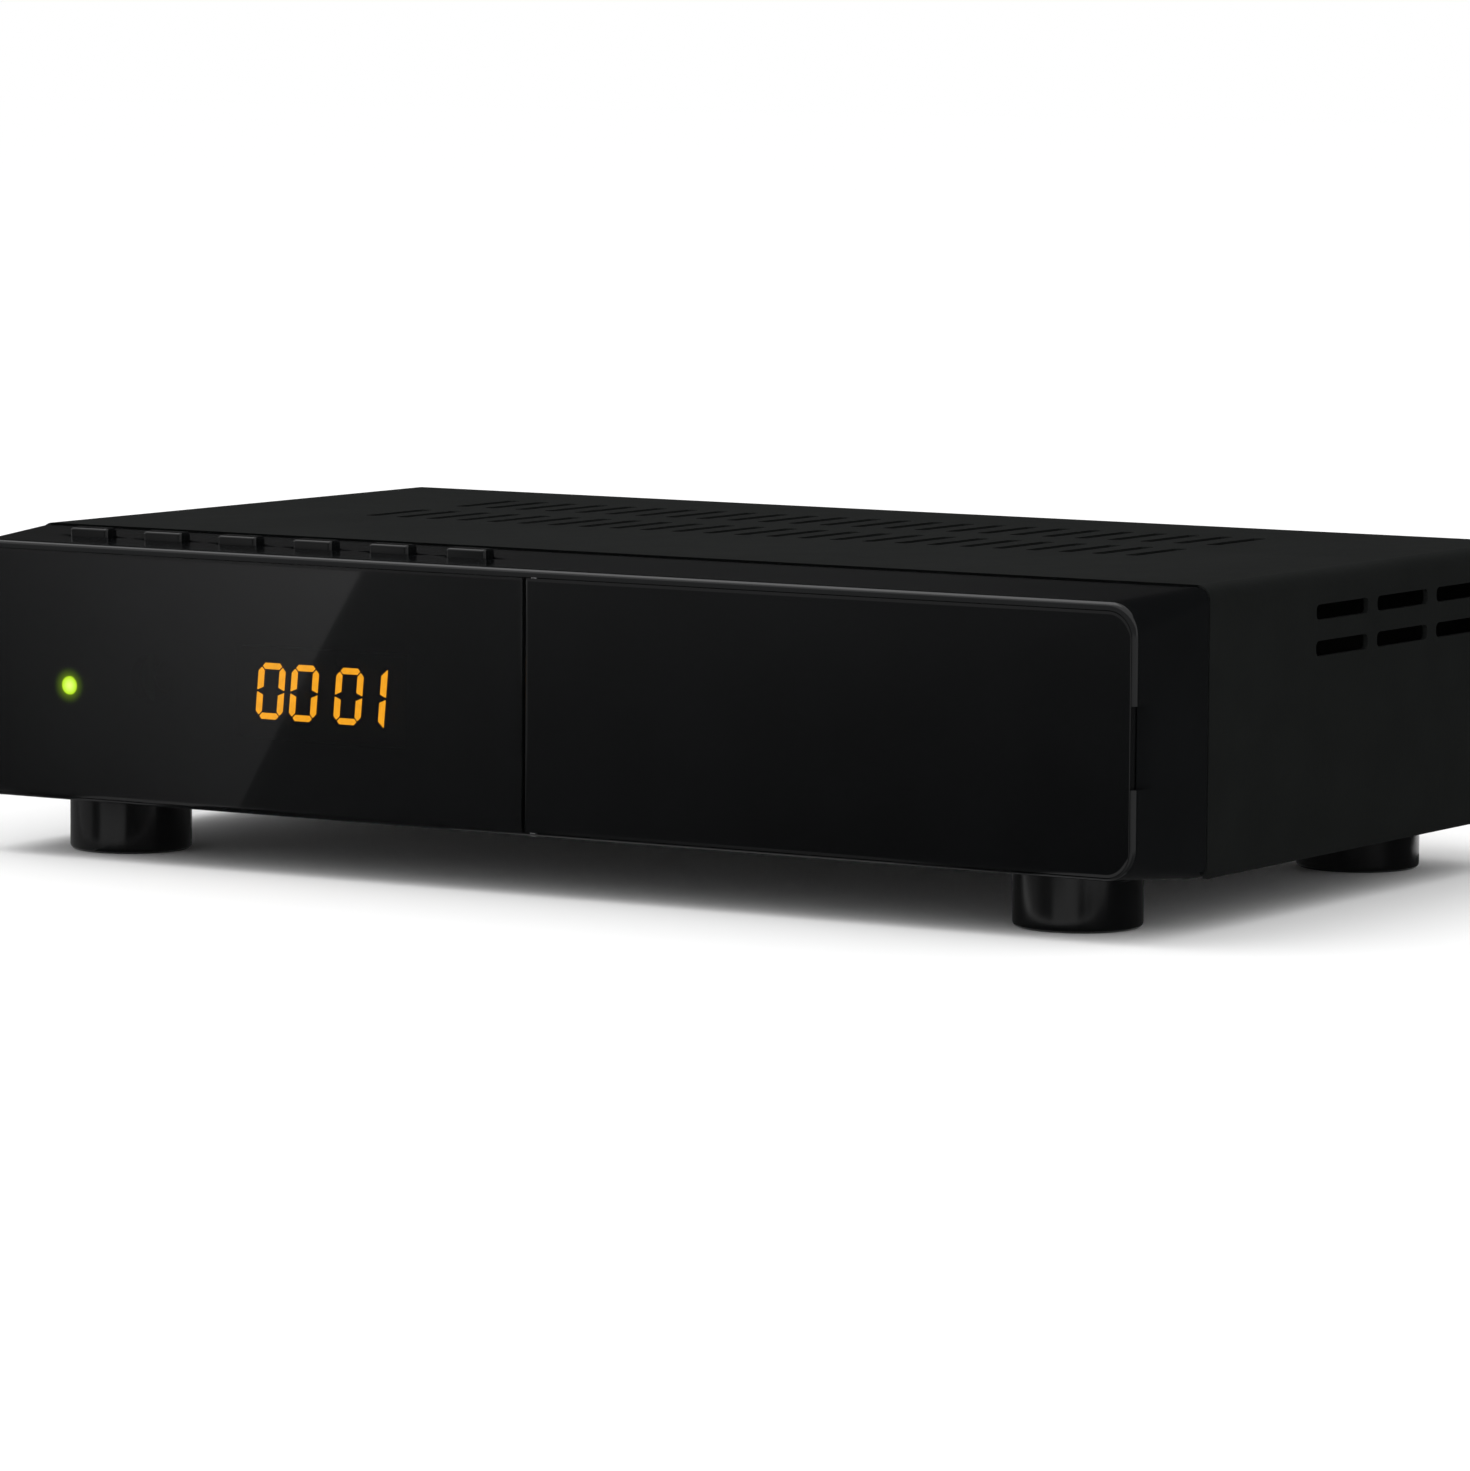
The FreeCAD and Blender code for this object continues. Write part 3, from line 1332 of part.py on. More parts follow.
def make_lnb_connector():
    """Threaded aerial socket: collar in the rear panel, barrel and bore."""
    middle = ("lnb_x", "lnb_z")
    collar = drum("lnb_collar", "y", middle, "collar_radius",
                  ("panel_in_y - cutout_play", "rear_y + collar_reach"))
    barrel = drum("lnb_barrel", "y", middle, "thread_radius", ("rear_y", "rear_y + thread_reach"))
    bore = drum("lnb_bore", "y", middle, "thread_bore",
                ("rear_y + thread_reach - thread_bore_depth", "rear_y + thread_reach + overcut"))
    return cut("lnb_connector", fuse("lnb_shell", [collar, barrel]), [bore])


def make_lnb_insulator():
    """Insulator with the contact hole, a little below the face of the barrel."""
    middle = ("lnb_x", "lnb_z")
    face = "rear_y + thread_reach - insulator_step"
    floor = "rear_y + thread_reach - thread_bore_depth"
    disc = drum("insulator_disc", "y", middle, "thread_bore", (floor, face))
    hole = drum("insulator_hole", "y", middle, "contact_bore",
                (add(floor, "insulator_step"), add(face, "overcut")))
    return cut("lnb_insulator", disc, [hole])


def make_audio_socket():
    """Digital audio socket: moulded body and collar, with a metal barrel that stands on the collar."""
    back, face = "panel_in_y - cutout_play", "rear_y + audio_collar_reach"
    middle = ("audio_x", "audio_z")
    housing = block("audio_housing", around("audio_x", "audio_body_half"),
                    (less(back, "audio_body_deep"), back), ("board_top", "audio_z + audio_body_half"))
    collar = drum("audio_collar_ring", "y", middle, "audio_collar", (back, face))
    barrel = drum("audio_barrel", "y", middle, "audio_radius", (face, "rear_y + audio_reach"))
    bore = drum("audio_bore_hole", "y", middle, "audio_bore",
                (less(face, "overcut"), "rear_y + audio_reach + overcut"))
    return fuse("audio_socket_body", [housing, collar]), cut("audio_socket_barrel", barrel, [bore])


def make_hdmi():
    """Flat digital video socket with chamfered lower corners and a contact tongue."""
    body = new_body("hdmi_socket")
    half, low, high = "hdmi_wide / 2", "board_top", "board_top + hdmi_tall"
    shell = sketch_at(body, "XZ", "rear_y")
    draw_polygon(shell, hdmi_outline(half, low, high))
    pad(body, shell, "hdmi_deep")
    mouth = sketch_at(body, "XZ", "rear_y - hdmi_deep + hdmi_shell")
    wall = "hdmi_shell"
    draw_polygon(mouth, hdmi_outline(less(half, wall), add(low, wall), less(high, wall)))
    pocket(body, mouth, "hdmi_deep")
    tongue = block("hdmi_tongue", around("hdmi_x", "hdmi_wide / 2 - hdmi_bevel"),
                   ("rear_y - hdmi_deep + hdmi_shell", "rear_y - 1.5 * hdmi_shell"),
                   around(f"({low} + {high} + hdmi_shell) / 2", "hdmi_tongue_half"))
    return body, tongue


def hdmi_outline(half, low, high):
    bevel = "hdmi_bevel"
    right = [(less(half, bevel), low), (half, add(low, bevel)), (half, high)]
    points = [(add("hdmi_x", x), z) for x, z in right]
    return points + [(less("hdmi_x", x), z) for x, z in reversed(right)]


def make_ethernet():
    """Network socket: block with a stepped mouth for the plug and its latch."""
    body = new_body("ethernet_socket")
    block_sketch = sketch_at(body, "XZ", "rear_y")
    draw_rectangle(block_sketch, around("ethernet_x", "ethernet_wide / 2"),
                   ("board_top", "board_top + ethernet_tall"))
    pad(body, block_sketch, "ethernet_deep")
    mouth = sketch_at(body, "XZ", "rear_y - jack_mouth_deep")
    half, latch = "jack_mouth_wide / 2", "latch_wide / 2"
    low = "board_top + (ethernet_tall - jack_mouth_tall - latch_tall) / 2"
    step, high = add(low, "latch_tall"), f"{low} + latch_tall + jack_mouth_tall"
    right = [(latch, low), (latch, step), (half, step), (half, high)]
    corners = [(add("ethernet_x", x), z, None) for x, z in right]
    corners += [(less("ethernet_x", x), z, None) for x, z in reversed(right)]
    draw_outline(mouth, corners)
    pocket(body, mouth, "jack_mouth_deep + overcut")
    return body


def scart_outline(inset):
    """The socket's outline: a box with one upper corner cut off, drawn in by an inset."""
    half = less("scart_wide / 2", inset)
    low, high = add("board_top", inset), f"board_top + scart_tall - ({inset})"
    left, right = less("scart_x", half), add("scart_x", half)
    return [(left, low), (right, low), (right, less(high, "scart_bevel")),
            (less(right, "scart_bevel"), high), (left, high)]


def make_scart():
    """Video socket with twenty contact slots in a raised block."""
    body = new_body("scart_socket")
    shell = sketch_at(body, "XZ", "rear_y")
    draw_polygon(shell, scart_outline("0"))
    pad(body, shell, "scart_deep")
    moat = sketch_at(body, "XZ", "rear_y - scart_moat_deep")
    draw_polygon(moat, scart_outline("scart_rim"))
    draw_polygon(moat, scart_outline("scart_rim + scart_moat"))
    pocket(body, moat, "scart_moat_deep + overcut")
    slots = sketch_at(body, "XZ", "rear_y - scart_moat_deep")
    first = "scart_x - scart_slot_pitch * (scart_slot_count - 1) / 2"
    middle = "board_top + scart_tall / 2"
    for turn in ("-1", "1"):
        draw_rectangle(slots, around(first, "scart_slot / 2"),
                       around(f"{middle} + {turn} * scart_row_half", "scart_slot_tall / 2"))
    cuts = pocket(body, slots, "scart_moat_deep + overcut")
    repeat(body, cuts, "X", "scart_slot_pitch", "scart_slot_count")
    return body


def make_power_socket():
    """Inlet of the power adaptor: moulded body with a bore and a centre pin."""
    back = "panel_in_y - cutout_play"
    middle = ("power_x", "power_z")
    body = block("power_body", around("power_x", "power_half_wide"), (less(back, "power_deep"), back),
                 ("board_top", "board_top + power_tall"))
    nose = drum("power_nose", "y", middle, "power_bore + power_wall - cutout_play", (back, "rear_y"))
    bore = drum("power_bore_hole", "y", middle, "power_bore", ("rear_y - power_bore_deep", "rear_y + overcut"))
    pin = drum("dc_jack_pin", "y", middle, "power_pin", ("rear_y - power_bore_deep", "rear_y - cutout_play"))
    return cut("dc_jack", fuse("power_shell", [body, nose]), [bore]), pin


def make_usb():
    """Data socket behind the flap: bent shell and contact tongue."""
    front, back = "bay_back_y", "bay_back_y + usb_deep"
    across = around("usb_x", "usb_wide / 2")
    shell = block("usb_shell", across, (front, back), ("board_top", "board_top + usb_tall"))
    mouth = block("usb_mouth", around("usb_x", "usb_wide / 2 - usb_sheet"),
                  (less(front, "overcut"), less(back, "usb_sheet")),
                  ("board_top + usb_sheet", "board_top + usb_tall - usb_sheet"))
    tongue = block("usb_tongue", around("usb_x", "usb_wide / 2 - 2 * usb_sheet"),
                   (add(front, "usb_sheet"), less(back, "usb_sheet")),
                   ("usb_mouth_z", "usb_mouth_z + usb_tongue_thick"))
    return cut("usb_socket", shell, [mouth]), tongue


def make_card_reader():
    """Smart card reader behind the flap: a low housing with a wide slot."""
    front = "bay_wall_back_y + cutout_play"
    shell = block("card_shell", around("card_x", "card_reader_half"), (front, add(front, "card_reader_deep")),
                  ("board_top", "board_top + card_reader_tall"))
    slot = block("card_slot", around("card_x", "card_slot_wide / 2"),
                 (less(front, "overcut"), f"{front} + card_reader_deep - card_stop"),
                 around("card_mouth_z", "card_slot_tall / 2"))
    return cut("card_reader", shell, [slot])


def build_receiver():
    """Make every sub-part and return them all."""
    numbers = range(1, int(size("button_count")) + 1)
    parts = [make_top_cover(), make_front_bezel(), make_display_window(), make_flap_door()]
    parts += [make_button(number) for number in numbers]
    parts += [make_plunger(number) for number in numbers]
    parts += [make_key_switches(), make_hinge_pins(), make_base_chassis()]
    parts += [make_foot(*place) for place in foot_places()]
    parts += [make_foot_screws(), make_cover_screws(), make_main_board(), make_board_screws()]
    parts += [make_front_board(), make_front_board_screws(), make_display_module(), make_lit_segments()]
    parts += [make_status_led(), make_light_guide(), make_ir_receiver()]
    parts += [make_ribbon_cable(), make_ribbon_connectors(), make_main_chip(), make_heat_sink()]
    parts += [make_memory_chips(), make_capacitors(), make_inductors()]
    parts += [make_tuner_can(), make_lnb_connector(), make_lnb_insulator(), *make_audio_socket()]
    parts += [*make_hdmi(), make_ethernet(), make_scart(), *make_power_socket()]
    parts += [*make_usb(), make_card_reader()]
    return parts


def check_document():
    """Stop if any object of the document failed."""
    for item in DOC.Objects:
        if "Invalid" in item.State or "Error" in item.State:
            raise RuntimeError(f"{item.Label} failed: {item.State}")


def export(parts):
    """Write each sub-part to its own file."""
    for part in parts:
        shape = part.Shape
        if shape.isNull() or not shape.isValid() or not shape.Solids:
            raise RuntimeError(f"{part.Label} has no sound solid")
    os.makedirs("parts", exist_ok=True)
    for part in parts:
        part.Shape.exportStep(f"parts/{part.Label}.step")


fill_sheet()
PARTS = build_receiver()
DOC.recompute()
check_document()
export(PARTS)
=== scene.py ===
import logging
import math
from dataclasses import dataclass, replace
from enum import Enum
from functools import lru_cache
from typing import Callable, Iterable, Sequence

import bmesh
import bpy
from mathutils import Matrix, Vector


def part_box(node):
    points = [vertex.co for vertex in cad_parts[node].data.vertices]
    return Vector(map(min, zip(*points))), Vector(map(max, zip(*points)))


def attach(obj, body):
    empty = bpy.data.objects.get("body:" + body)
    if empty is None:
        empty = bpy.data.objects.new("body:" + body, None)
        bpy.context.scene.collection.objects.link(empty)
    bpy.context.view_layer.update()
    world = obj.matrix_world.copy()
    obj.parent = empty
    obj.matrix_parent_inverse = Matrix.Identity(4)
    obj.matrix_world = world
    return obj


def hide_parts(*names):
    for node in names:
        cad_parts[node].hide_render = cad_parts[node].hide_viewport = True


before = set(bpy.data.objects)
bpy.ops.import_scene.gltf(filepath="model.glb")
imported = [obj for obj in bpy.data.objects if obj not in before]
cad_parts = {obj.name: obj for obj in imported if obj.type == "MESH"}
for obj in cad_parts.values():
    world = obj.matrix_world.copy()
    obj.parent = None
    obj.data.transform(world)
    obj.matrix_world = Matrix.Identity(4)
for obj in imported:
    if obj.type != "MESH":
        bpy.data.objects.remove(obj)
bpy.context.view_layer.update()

# Looks of a compact satellite television receiver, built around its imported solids.
# X runs along the front from left to right, Y from the front to the back and Z is up.
# Sizes in the classes are millimetres, and publish() scales a finished mesh to metres once.
# The studio around the receiver is laid out in metres.

LOG = logging.getLogger("receiver")
MM = 0.001
NEAR = 0.01  # two places this close count as one
WELD = 1e-4  # vertices this close are merged
FLAT = 0.99  # a face looks along an axis from this share of its normal
PAST = 1.0  # a cutting tool reaches this far past the wall that it cuts
LIT_TIP = 0.3  # this much of the light guide glows
SMEAR_SIZE, SMEAR_STRETCH = 1.7, (1.0, 0.6, 1.6)  # gloss varies in longer smears than colour
SHARP = math.radians(30)
X, Y, Z = range(3)

Form = bmesh.types.BMesh
Vert = bmesh.types.BMVert
Edge = bmesh.types.BMEdge
Face = bmesh.types.BMFace
Socket = bpy.types.NodeSocket
Colour = tuple[float, float, float]
Point = tuple[float, float, float]
Span = tuple[float, float]


class Carve(Enum):
    """What a boolean does with its tool."""

    CUT = "DIFFERENCE"
    JOIN = "UNION"


class Plane(Enum):
    """Plane that a flat outline or a circle lies in, with the turn that takes XY there."""

    XY = Matrix.Identity(4)
    XZ = Matrix.Rotation(math.radians(90), 4, "X")

    @property
    def axis(self) -> Vector:
        """Axis across the plane: up, or towards the back."""
        return Vector((0, 1, 0)) if self is Plane.XZ else Vector((0, 0, 1))


def grown(span: Span, by: float) -> Span:
    """A span with both ends moved outwards."""
    return span[0] - by, span[1] + by


def around(middle: float, half: float) -> Span:
    """The span that reaches equally far to both sides of its middle."""
    return middle - half, middle + half


@dataclass(frozen=True)
class Extent:
    """Lowest and highest corner of a node, in millimetres."""

    low: Vector
    high: Vector

    @classmethod
    def of(cls, node: str) -> "Extent":
        """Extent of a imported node."""
        low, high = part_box(node)
        return cls(low / MM, high / MM)

    @property
    def mid(self) -> Vector:
        """Middle of the box."""
        return (self.low + self.high) / 2

    @property
    def size(self) -> Vector:
        """Length of each side."""
        return self.high - self.low

    def span(self, axis: int, play: float = 0.0) -> Span:
        """Both ends along an axis, with some play."""
        return grown((self.low[axis], self.high[axis]), play)


# ---- mesh helpers ----


def only(kind: type, items: Iterable[object]) -> list:
    """Keep the items of one kind."""
    return [item for item in items if isinstance(item, kind)]


def add_box(form: Form, across: Span, deep: Span, tall: Span) -> list[Vert]:
    """Add a box.

    Args:
        form: Mesh that the box goes into.
        across: Both ends along X.
        deep: Both ends along Y.
        tall: Both ends along Z.

    Returns:
        The eight new vertices.
    """
    first, last = (Vector(corner) for corner in zip(across, deep, tall))
    place = Matrix.Translation((first + last) / 2) @ Matrix.Diagonal((*(last - first), 1.0))
    return bmesh.ops.create_cube(form, size=1.0, matrix=place)["verts"]


def add_drum(form: Form, centre: Point, radius: float, length: float, plane: Plane,
             segments: int = 48) -> None:
    """Add a closed cylinder.

    Args:
        form: Mesh that the cylinder goes into.
        centre: Middle of the cylinder.
        radius: Its radius.
        length: Length along its axis.
        plane: Plane of its circles.
        segments: Sides of the circle.
    """
    bmesh.ops.create_cone(form, cap_ends=True, segments=segments, radius1=radius, radius2=radius,
                          depth=length, matrix=Matrix.Translation(centre) @ plane.value)


def add_plate(form: Form, plane: Plane, level: float, across: Span, along: Span, corner: float = 0.0,
              steps: int = 6) -> Face:
    """Add one flat face with rounded corners.

    Args:
        form: Mesh that the face goes into.
        plane: Plane of the face.
        level: Place of that plane along its axis.
        across: Both ends along the plane's first axis.
        along: Both ends along its second axis.
        corner: Radius of the four corners.
        steps: Edges of each corner's arc.

    Returns:
        The new face.
    """
    before = set(form.faces)
    lift = -level if plane is Plane.XZ else level
    middle = Vector(((across[0] + across[1]) / 2, (along[0] + along[1]) / 2, lift))
    spread = Matrix.Diagonal((across[1] - across[0], along[1] - along[0], 1.0, 1.0))
    place = plane.value @ Matrix.Translation(middle) @ spread
    spots = bmesh.ops.create_grid(form, x_segments=1, y_segments=1, size=0.5, matrix=place)["verts"]
    if corner > 0:
        round_corners(form, spots, corner, steps)
    return next(face for face in form.faces if face not in before)


def round_corners(form: Form, spots: Iterable[Vert], radius: float, steps: int) -> None:
    """Turn corners of flat faces into arcs."""
    bmesh.ops.bevel(form, geom=list(spots), offset=radius, offset_type="OFFSET", segments=steps,
                    profile=0.5, affect="VERTICES", material=-1)


def round_edges(form: Form, edges: Iterable[Edge], radius: float, steps: int) -> None:
    """Round edges of a solid."""
    bmesh.ops.bevel(form, geom=list(edges), offset=radius, offset_type="OFFSET", segments=steps,
                    profile=0.5, affect="EDGES", clamp_overlap=True, material=-1)


def edges_where(form: Form, test: Callable[[Vector, Vector], bool]) -> list[Edge]:
    """Find the sharp edges whose two ends pass a test.

    Args:
        form: Mesh to search.
        test: Takes both ends of an edge.

    Returns:
        The edges found.
    """
    form.normal_update()
    return [edge for edge in form.edges if len(edge.link_faces) == 2 and edge.calc_face_angle(0.0) > SHARP
            and test(edge.verts[0].co, edge.verts[1].co)]


def pull(form: Form, face: Face, shift: Point | Vector) -> None:
    """Extrude a face by a shift into a closed solid."""
    made = bmesh.ops.extrude_face_region(form, geom=[face], use_keep_orig=True)["geom"]
    bmesh.ops.translate(form, vec=shift, verts=only(Vert, made))


def add_prism(form: Form, plane: Plane, span: Span, across: Span, along: Span, corner: float = 0.0,
              steps: int = 6) -> None:
    """Add a closed solid with rounded corners between two levels.

    Args:
        form: Mesh that the solid goes into.
        plane: Plane of the outline.
        span: Both levels along the plane's axis.
        across: Both ends along the plane's first axis.
        along: Both ends along its second axis.
        corner: Radius of the four corners.
        steps: Edges of each corner's arc.
    """
    face = add_plate(form, plane, span[0], across, along, corner, steps)
    pull(form, face, plane.axis * (span[1] - span[0]))


def add_block(form: Form, outline: Iterable[Span], tall: Span) -> None:
    """Add a closed solid with a free outline in X and Y between two heights."""
    face = form.faces.new([form.verts.new((x, y, tall[0])) for x, y in outline])
    pull(form, face, (0, 0, tall[1] - tall[0]))


def skin(form: Form, rings: Sequence[Face]) -> None:
    """Join a row of outlines with walls; the first and the last one stay as caps.

    Args:
        form: Mesh that holds the outlines.
        rings: Outlines, in their order along the solid.
    """
    for near, far in zip(rings, rings[1:]):
        bmesh.ops.bridge_loops(form, edges=[*near.edges, *far.edges])
    bmesh.ops.delete(form, geom=list(rings[1:-1]), context="FACES_ONLY")


def outward(form: Form) -> None:
    """Merge double vertices and point every face of closed shells outwards."""
    bmesh.ops.remove_doubles(form, verts=form.verts[:], dist=WELD)
    bmesh.ops.recalc_face_normals(form, faces=form.faces[:])


def split_at(form: Form, chosen: Callable[[Face], bool], axis: int, levels: Iterable[float]) -> None:
    """Cut chosen faces along planes across an axis, so that their grid has edges there.

    Args:
        form: Mesh to cut.
        chosen: Tells which faces are cut.
        axis: Axis that the planes lie across.
        levels: Places of the planes along that axis.
    """
    normal = Matrix.Identity(3)[axis]
    for level in levels:
        faces = [face for face in form.faces if chosen(face)]
        edges = [edge for face in faces for edge in face.edges]
        spots = [spot for face in faces for spot in face.verts]
        bmesh.ops.bisect_plane(form, geom=list(dict.fromkeys([*faces, *edges, *spots])), dist=WELD,
                               plane_co=normal * level, plane_no=normal)


def carve(form: Form, tool: Form, how: Carve) -> Form:
    """Cut a tool out of a solid, or join it on.

    Args:
        form: Solid to change; it is used up.
        tool: Tool, which may be several solids; it is used up.
        how: Whether to cut or to join.

    Returns:
        The new solid.
    """
    holders = []
    for shape in (form, tool):
        outward(shape)
        mesh = bpy.data.meshes.new("carving")
        shape.to_mesh(mesh)
        shape.free()
        holder = bpy.data.objects.new("carving", mesh)
        bpy.context.scene.collection.objects.link(holder)
        holders.append(holder)
    modifier = holders[0].modifiers.new("carving", "BOOLEAN")
    modifier.operation = how.value
    modifier.object = holders[1]
    modifier.solver = "EXACT"
    modifier.use_self = True
    carved = bpy.data.meshes.new_from_object(holders[0].evaluated_get(bpy.context.evaluated_depsgraph_get()))
    result = bmesh.new()
    result.from_mesh(carved)
    for holder in holders:
        mesh = holder.data
        bpy.data.objects.remove(holder)
        bpy.data.meshes.remove(mesh)
    bpy.data.meshes.remove(carved)
    outward(result)
    return result


def add_spun(form: Form, profile: Sequence[Span], centre: Point, plane: Plane = Plane.XZ,
             steps: int = 64) -> Form:
    """Spin a closed half profile about an axis.

    Args:
        form: Mesh that the spun solid goes into.
        profile: Corners, each as its distance from the axis and its place along it.
        centre: A point of the axis; its place along the axis isn't used.
        plane: Plane that the circles lie in.
        steps: Sides of the circle.

    Returns:
        The mesh.
    """
    along = plane.axis
    base = Vector(centre) - along * Vector(centre).dot(along)
    spots = [form.verts.new(base + Vector((radius, 0, 0)) + along * place) for radius, place in profile]
    edges = [form.edges.new(pair) for pair in zip(spots, spots[1:] + spots[:1])]
    bmesh.ops.spin(form, geom=[*spots, *edges], cent=base, axis=along, angle=2 * math.pi, steps=steps,
                   use_merge=True)
    outward(form)
    return form


def publish(form: Form, name: str, finish: "Finish", body: str = "root",
            stands_for: Sequence[str] = (), crease: float = 28.0) -> None:
    """Turn a mesh in millimetres into a finished piece that rides on its body.

    Args:
        form: Mesh in millimetres; it is used up.
        name: Name of the piece.
        finish: Finish of its surface.
        body: Body that the piece rides on.
        stands_for: Nodes that the piece replaces.
        crease: Angle in degrees from which an edge stays sharp.
    """
    bmesh.ops.scale(form, vec=(MM, MM, MM), verts=form.verts[:])
    form.normal_update()
    for face in form.faces:
        face.smooth = True
    for edge in form.edges:
        edge.smooth = len(edge.link_faces) == 2 and edge.calc_face_angle(0.0) < math.radians(crease)
    mesh = bpy.data.meshes.new(name)
    form.to_mesh(mesh)
    form.free()
    piece = bpy.data.objects.new(name, mesh)
    bpy.context.scene.collection.objects.link(piece)
    mesh.materials.append(finish.material())
    piece.modifiers.new("even_shading", "WEIGHTED_NORMAL").keep_sharp = True
    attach(piece, body)
    if stands_for:
        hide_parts(*stands_for)
    LOG.info("%s: %d faces, on %s", name, len(mesh.polygons), body)


# ---- finishes ----


class Shader:
    """Node tree of one material, with short calls for the nodes it uses."""

    def __init__(self, name: str) -> None:
        """Start a material with one Principled surface.

        Args:
            name: Name of the material.
        """
        self.material = bpy.data.materials.new(name)
        self.material.use_nodes = True
        self.nodes = self.material.node_tree.nodes
        self.nodes.clear()
        self.surface = self.add("BsdfPrincipled")
        self.link(self.surface.outputs[0], self.add("OutputMaterial").inputs[0])
        self.place = self.add("TexCoord").outputs["Object"]

    def add(self, kind: str, **settings: object) -> bpy.types.Node:
        """Add a node and set its properties.

        Args:
            kind: Type of the node, without its first part.
            settings: Properties of the node.

        Returns:
            The node.
        """
        node = self.nodes.new("ShaderNode" + kind)
        for key, value in settings.items():
            setattr(node, key, value)
        return node

    def link(self, source: Socket, target: Socket) -> None:
        """Join two sockets."""
        self.material.node_tree.links.new(source, target)

    def fix(self, **values: object) -> None:
        """Set inputs of the surface; underscores stand for spaces in their names."""
        for key, value in values.items():
            self.surface.inputs[key.replace("_", " ")].default_value = value

    def feed(self, socket: str, source: Socket) -> None:
        """Link a source to an input of the surface."""
        self.link(source, self.surface.inputs[socket])

    def stretched(self, scale: Point) -> Socket:
        """Object coordinates, squeezed or stretched along the axes.

        Args:
            scale: Factor along each axis.

        Returns:
            The new coordinates.
        """
        node = self.add("Mapping")
        node.inputs["Scale"].default_value = scale
        self.link(self.place, node.inputs["Vector"])
        return node.outputs[0]

    def noise(self, size: float, detail: float, place: Socket | None = None) -> Socket:
        """Noise whose blotches measure about a given number of millimetres.

        Args:
            size: Size of the blotches.
            detail: How many finer layers it has.
            place: Coordinates, if they aren't those of the object.

        Returns:
            The noise, mostly between 0.35 and 0.65.
        """
        node = self.add("TexNoise")
        node.inputs["Scale"].default_value = 1.0 / (size * MM)
        node.inputs["Detail"].default_value = detail
        self.link(place or self.place, node.inputs["Vector"])
        return node.outputs["Fac"]

    def span(self, source: Socket, start: float, end: float, low: float = 0.35, high: float = 0.65) -> Socket:
        """Map a value from one range to another, and keep it inside.

        Args:
            source: Value to map.
            start: Result at the low end.
            end: Result at the high end.
            low: Low end of the value.
            high: High end of the value.

        Returns:
            The mapped value.
        """
        node = self.add("MapRange", clamp=True)
        for socket, value in zip(("From Min", "From Max", "To Min", "To Max"), (low, high, start, end)):
            node.inputs[socket].default_value = value
        self.link(source, node.inputs["Value"])
        return node.outputs["Result"]

    def mix(self, share: Socket, first: Colour, second: Colour) -> Socket:
        """Blend two colours.

        Args:
            share: Share of the second colour.
            first: First colour.
            second: Second colour.

        Returns:
            The blend.
        """
        node = self.add("Mix", data_type="RGBA")
        for index, colour in ((6, first), (7, second)):
            node.inputs[index].default_value = (*colour, 1.0)
        self.link(share, node.inputs[0])
        return node.outputs[2]

    def count(self, operation: str, first: Socket, second: Socket | float = 0.0) -> Socket:
        """Work out one step of arithmetic.

        Args:
            operation: Operation of the node.
            first: First value.
            second: Second value.

        Returns:
            The result.
        """
        node = self.add("Math", operation=operation)
        self.link(first, node.inputs[0])
        if isinstance(second, float):
            node.inputs[1].default_value = second
        else:
            self.link(second, node.inputs[1])
        return node.outputs[0]

    def axis(self, index: int) -> Socket:
        """One coordinate of the surface point, in metres."""
        node = self.add("SeparateXYZ")
        self.link(self.place, node.inputs[0])
        return node.outputs[index]

    def distance_from(self, x: float, z: float) -> Socket:
        """Distance in metres from an axis along Y, which is given in millimetres."""
        squares = [self.count("POWER", self.count("SUBTRACT", self.axis(index), place * MM), 2.0)
                   for index, place in ((X, x), (Z, z))]
        return self.count("SQRT", self.count("ADD", *squares))

    def bump(self, height: Socket, depth: float) -> None:
        """Raise the surface by a height map.

        Args:
            height: Height map.
            depth: Its full range in millimetres.
        """
        node = self.add("Bump")
        node.inputs["Distance"].default_value = depth * MM
        self.link(height, node.inputs["Height"])
        self.feed("Normal", node.outputs[0])


@dataclass(frozen=True)
class Finish:
    """A surface finish: colour, gloss and how much both vary over the piece."""

    name: str
    colour: Colour
    roughness: float = 0.5
    gloss_spread: float = 0.06
    metallic: float = 0.0
    specular: float = 0.5
    mottle: float = 0.12
    mottle_size: float = 18.0
    grain_size: float = 0.5
    grain_depth: float = 0.0

    def material(self) -> bpy.types.Material:
        """The finish's material, made once."""
        return made_material(self)

    def dress(self, shader: Shader) -> None:
        """Set up the surface: mottled colour, varied gloss and fine grain.

        Args:
            shader: Shader to set up.
        """
        shader.fix(Metallic=self.metallic, Specular_IOR_Level=self.specular)
        cloud = shader.span(shader.noise(self.mottle_size, 3.0), 0, 1)
        dark, light = (tuple(c * share for c in self.colour) for share in around(1, self.mottle))
        shader.feed("Base Color", shader.mix(cloud, dark, light))
        smear = shader.noise(self.mottle_size * SMEAR_SIZE, 4.0, shader.stretched(SMEAR_STRETCH))
        shader.feed("Roughness", shader.span(smear, *around(self.roughness, self.gloss_spread)))
        if self.grain_depth > 0:
            shader.bump(shader.noise(self.grain_size, 2.0), self.grain_depth)


@lru_cache(maxsize=None)
def made_material(finish: Finish) -> bpy.types.Material:
    """Build the material of a finish.

    Args:
        finish: Finish to build.

    Returns:
        Its material.
    """
    shader = Shader(finish.name)
    finish.dress(shader)
    return shader.material


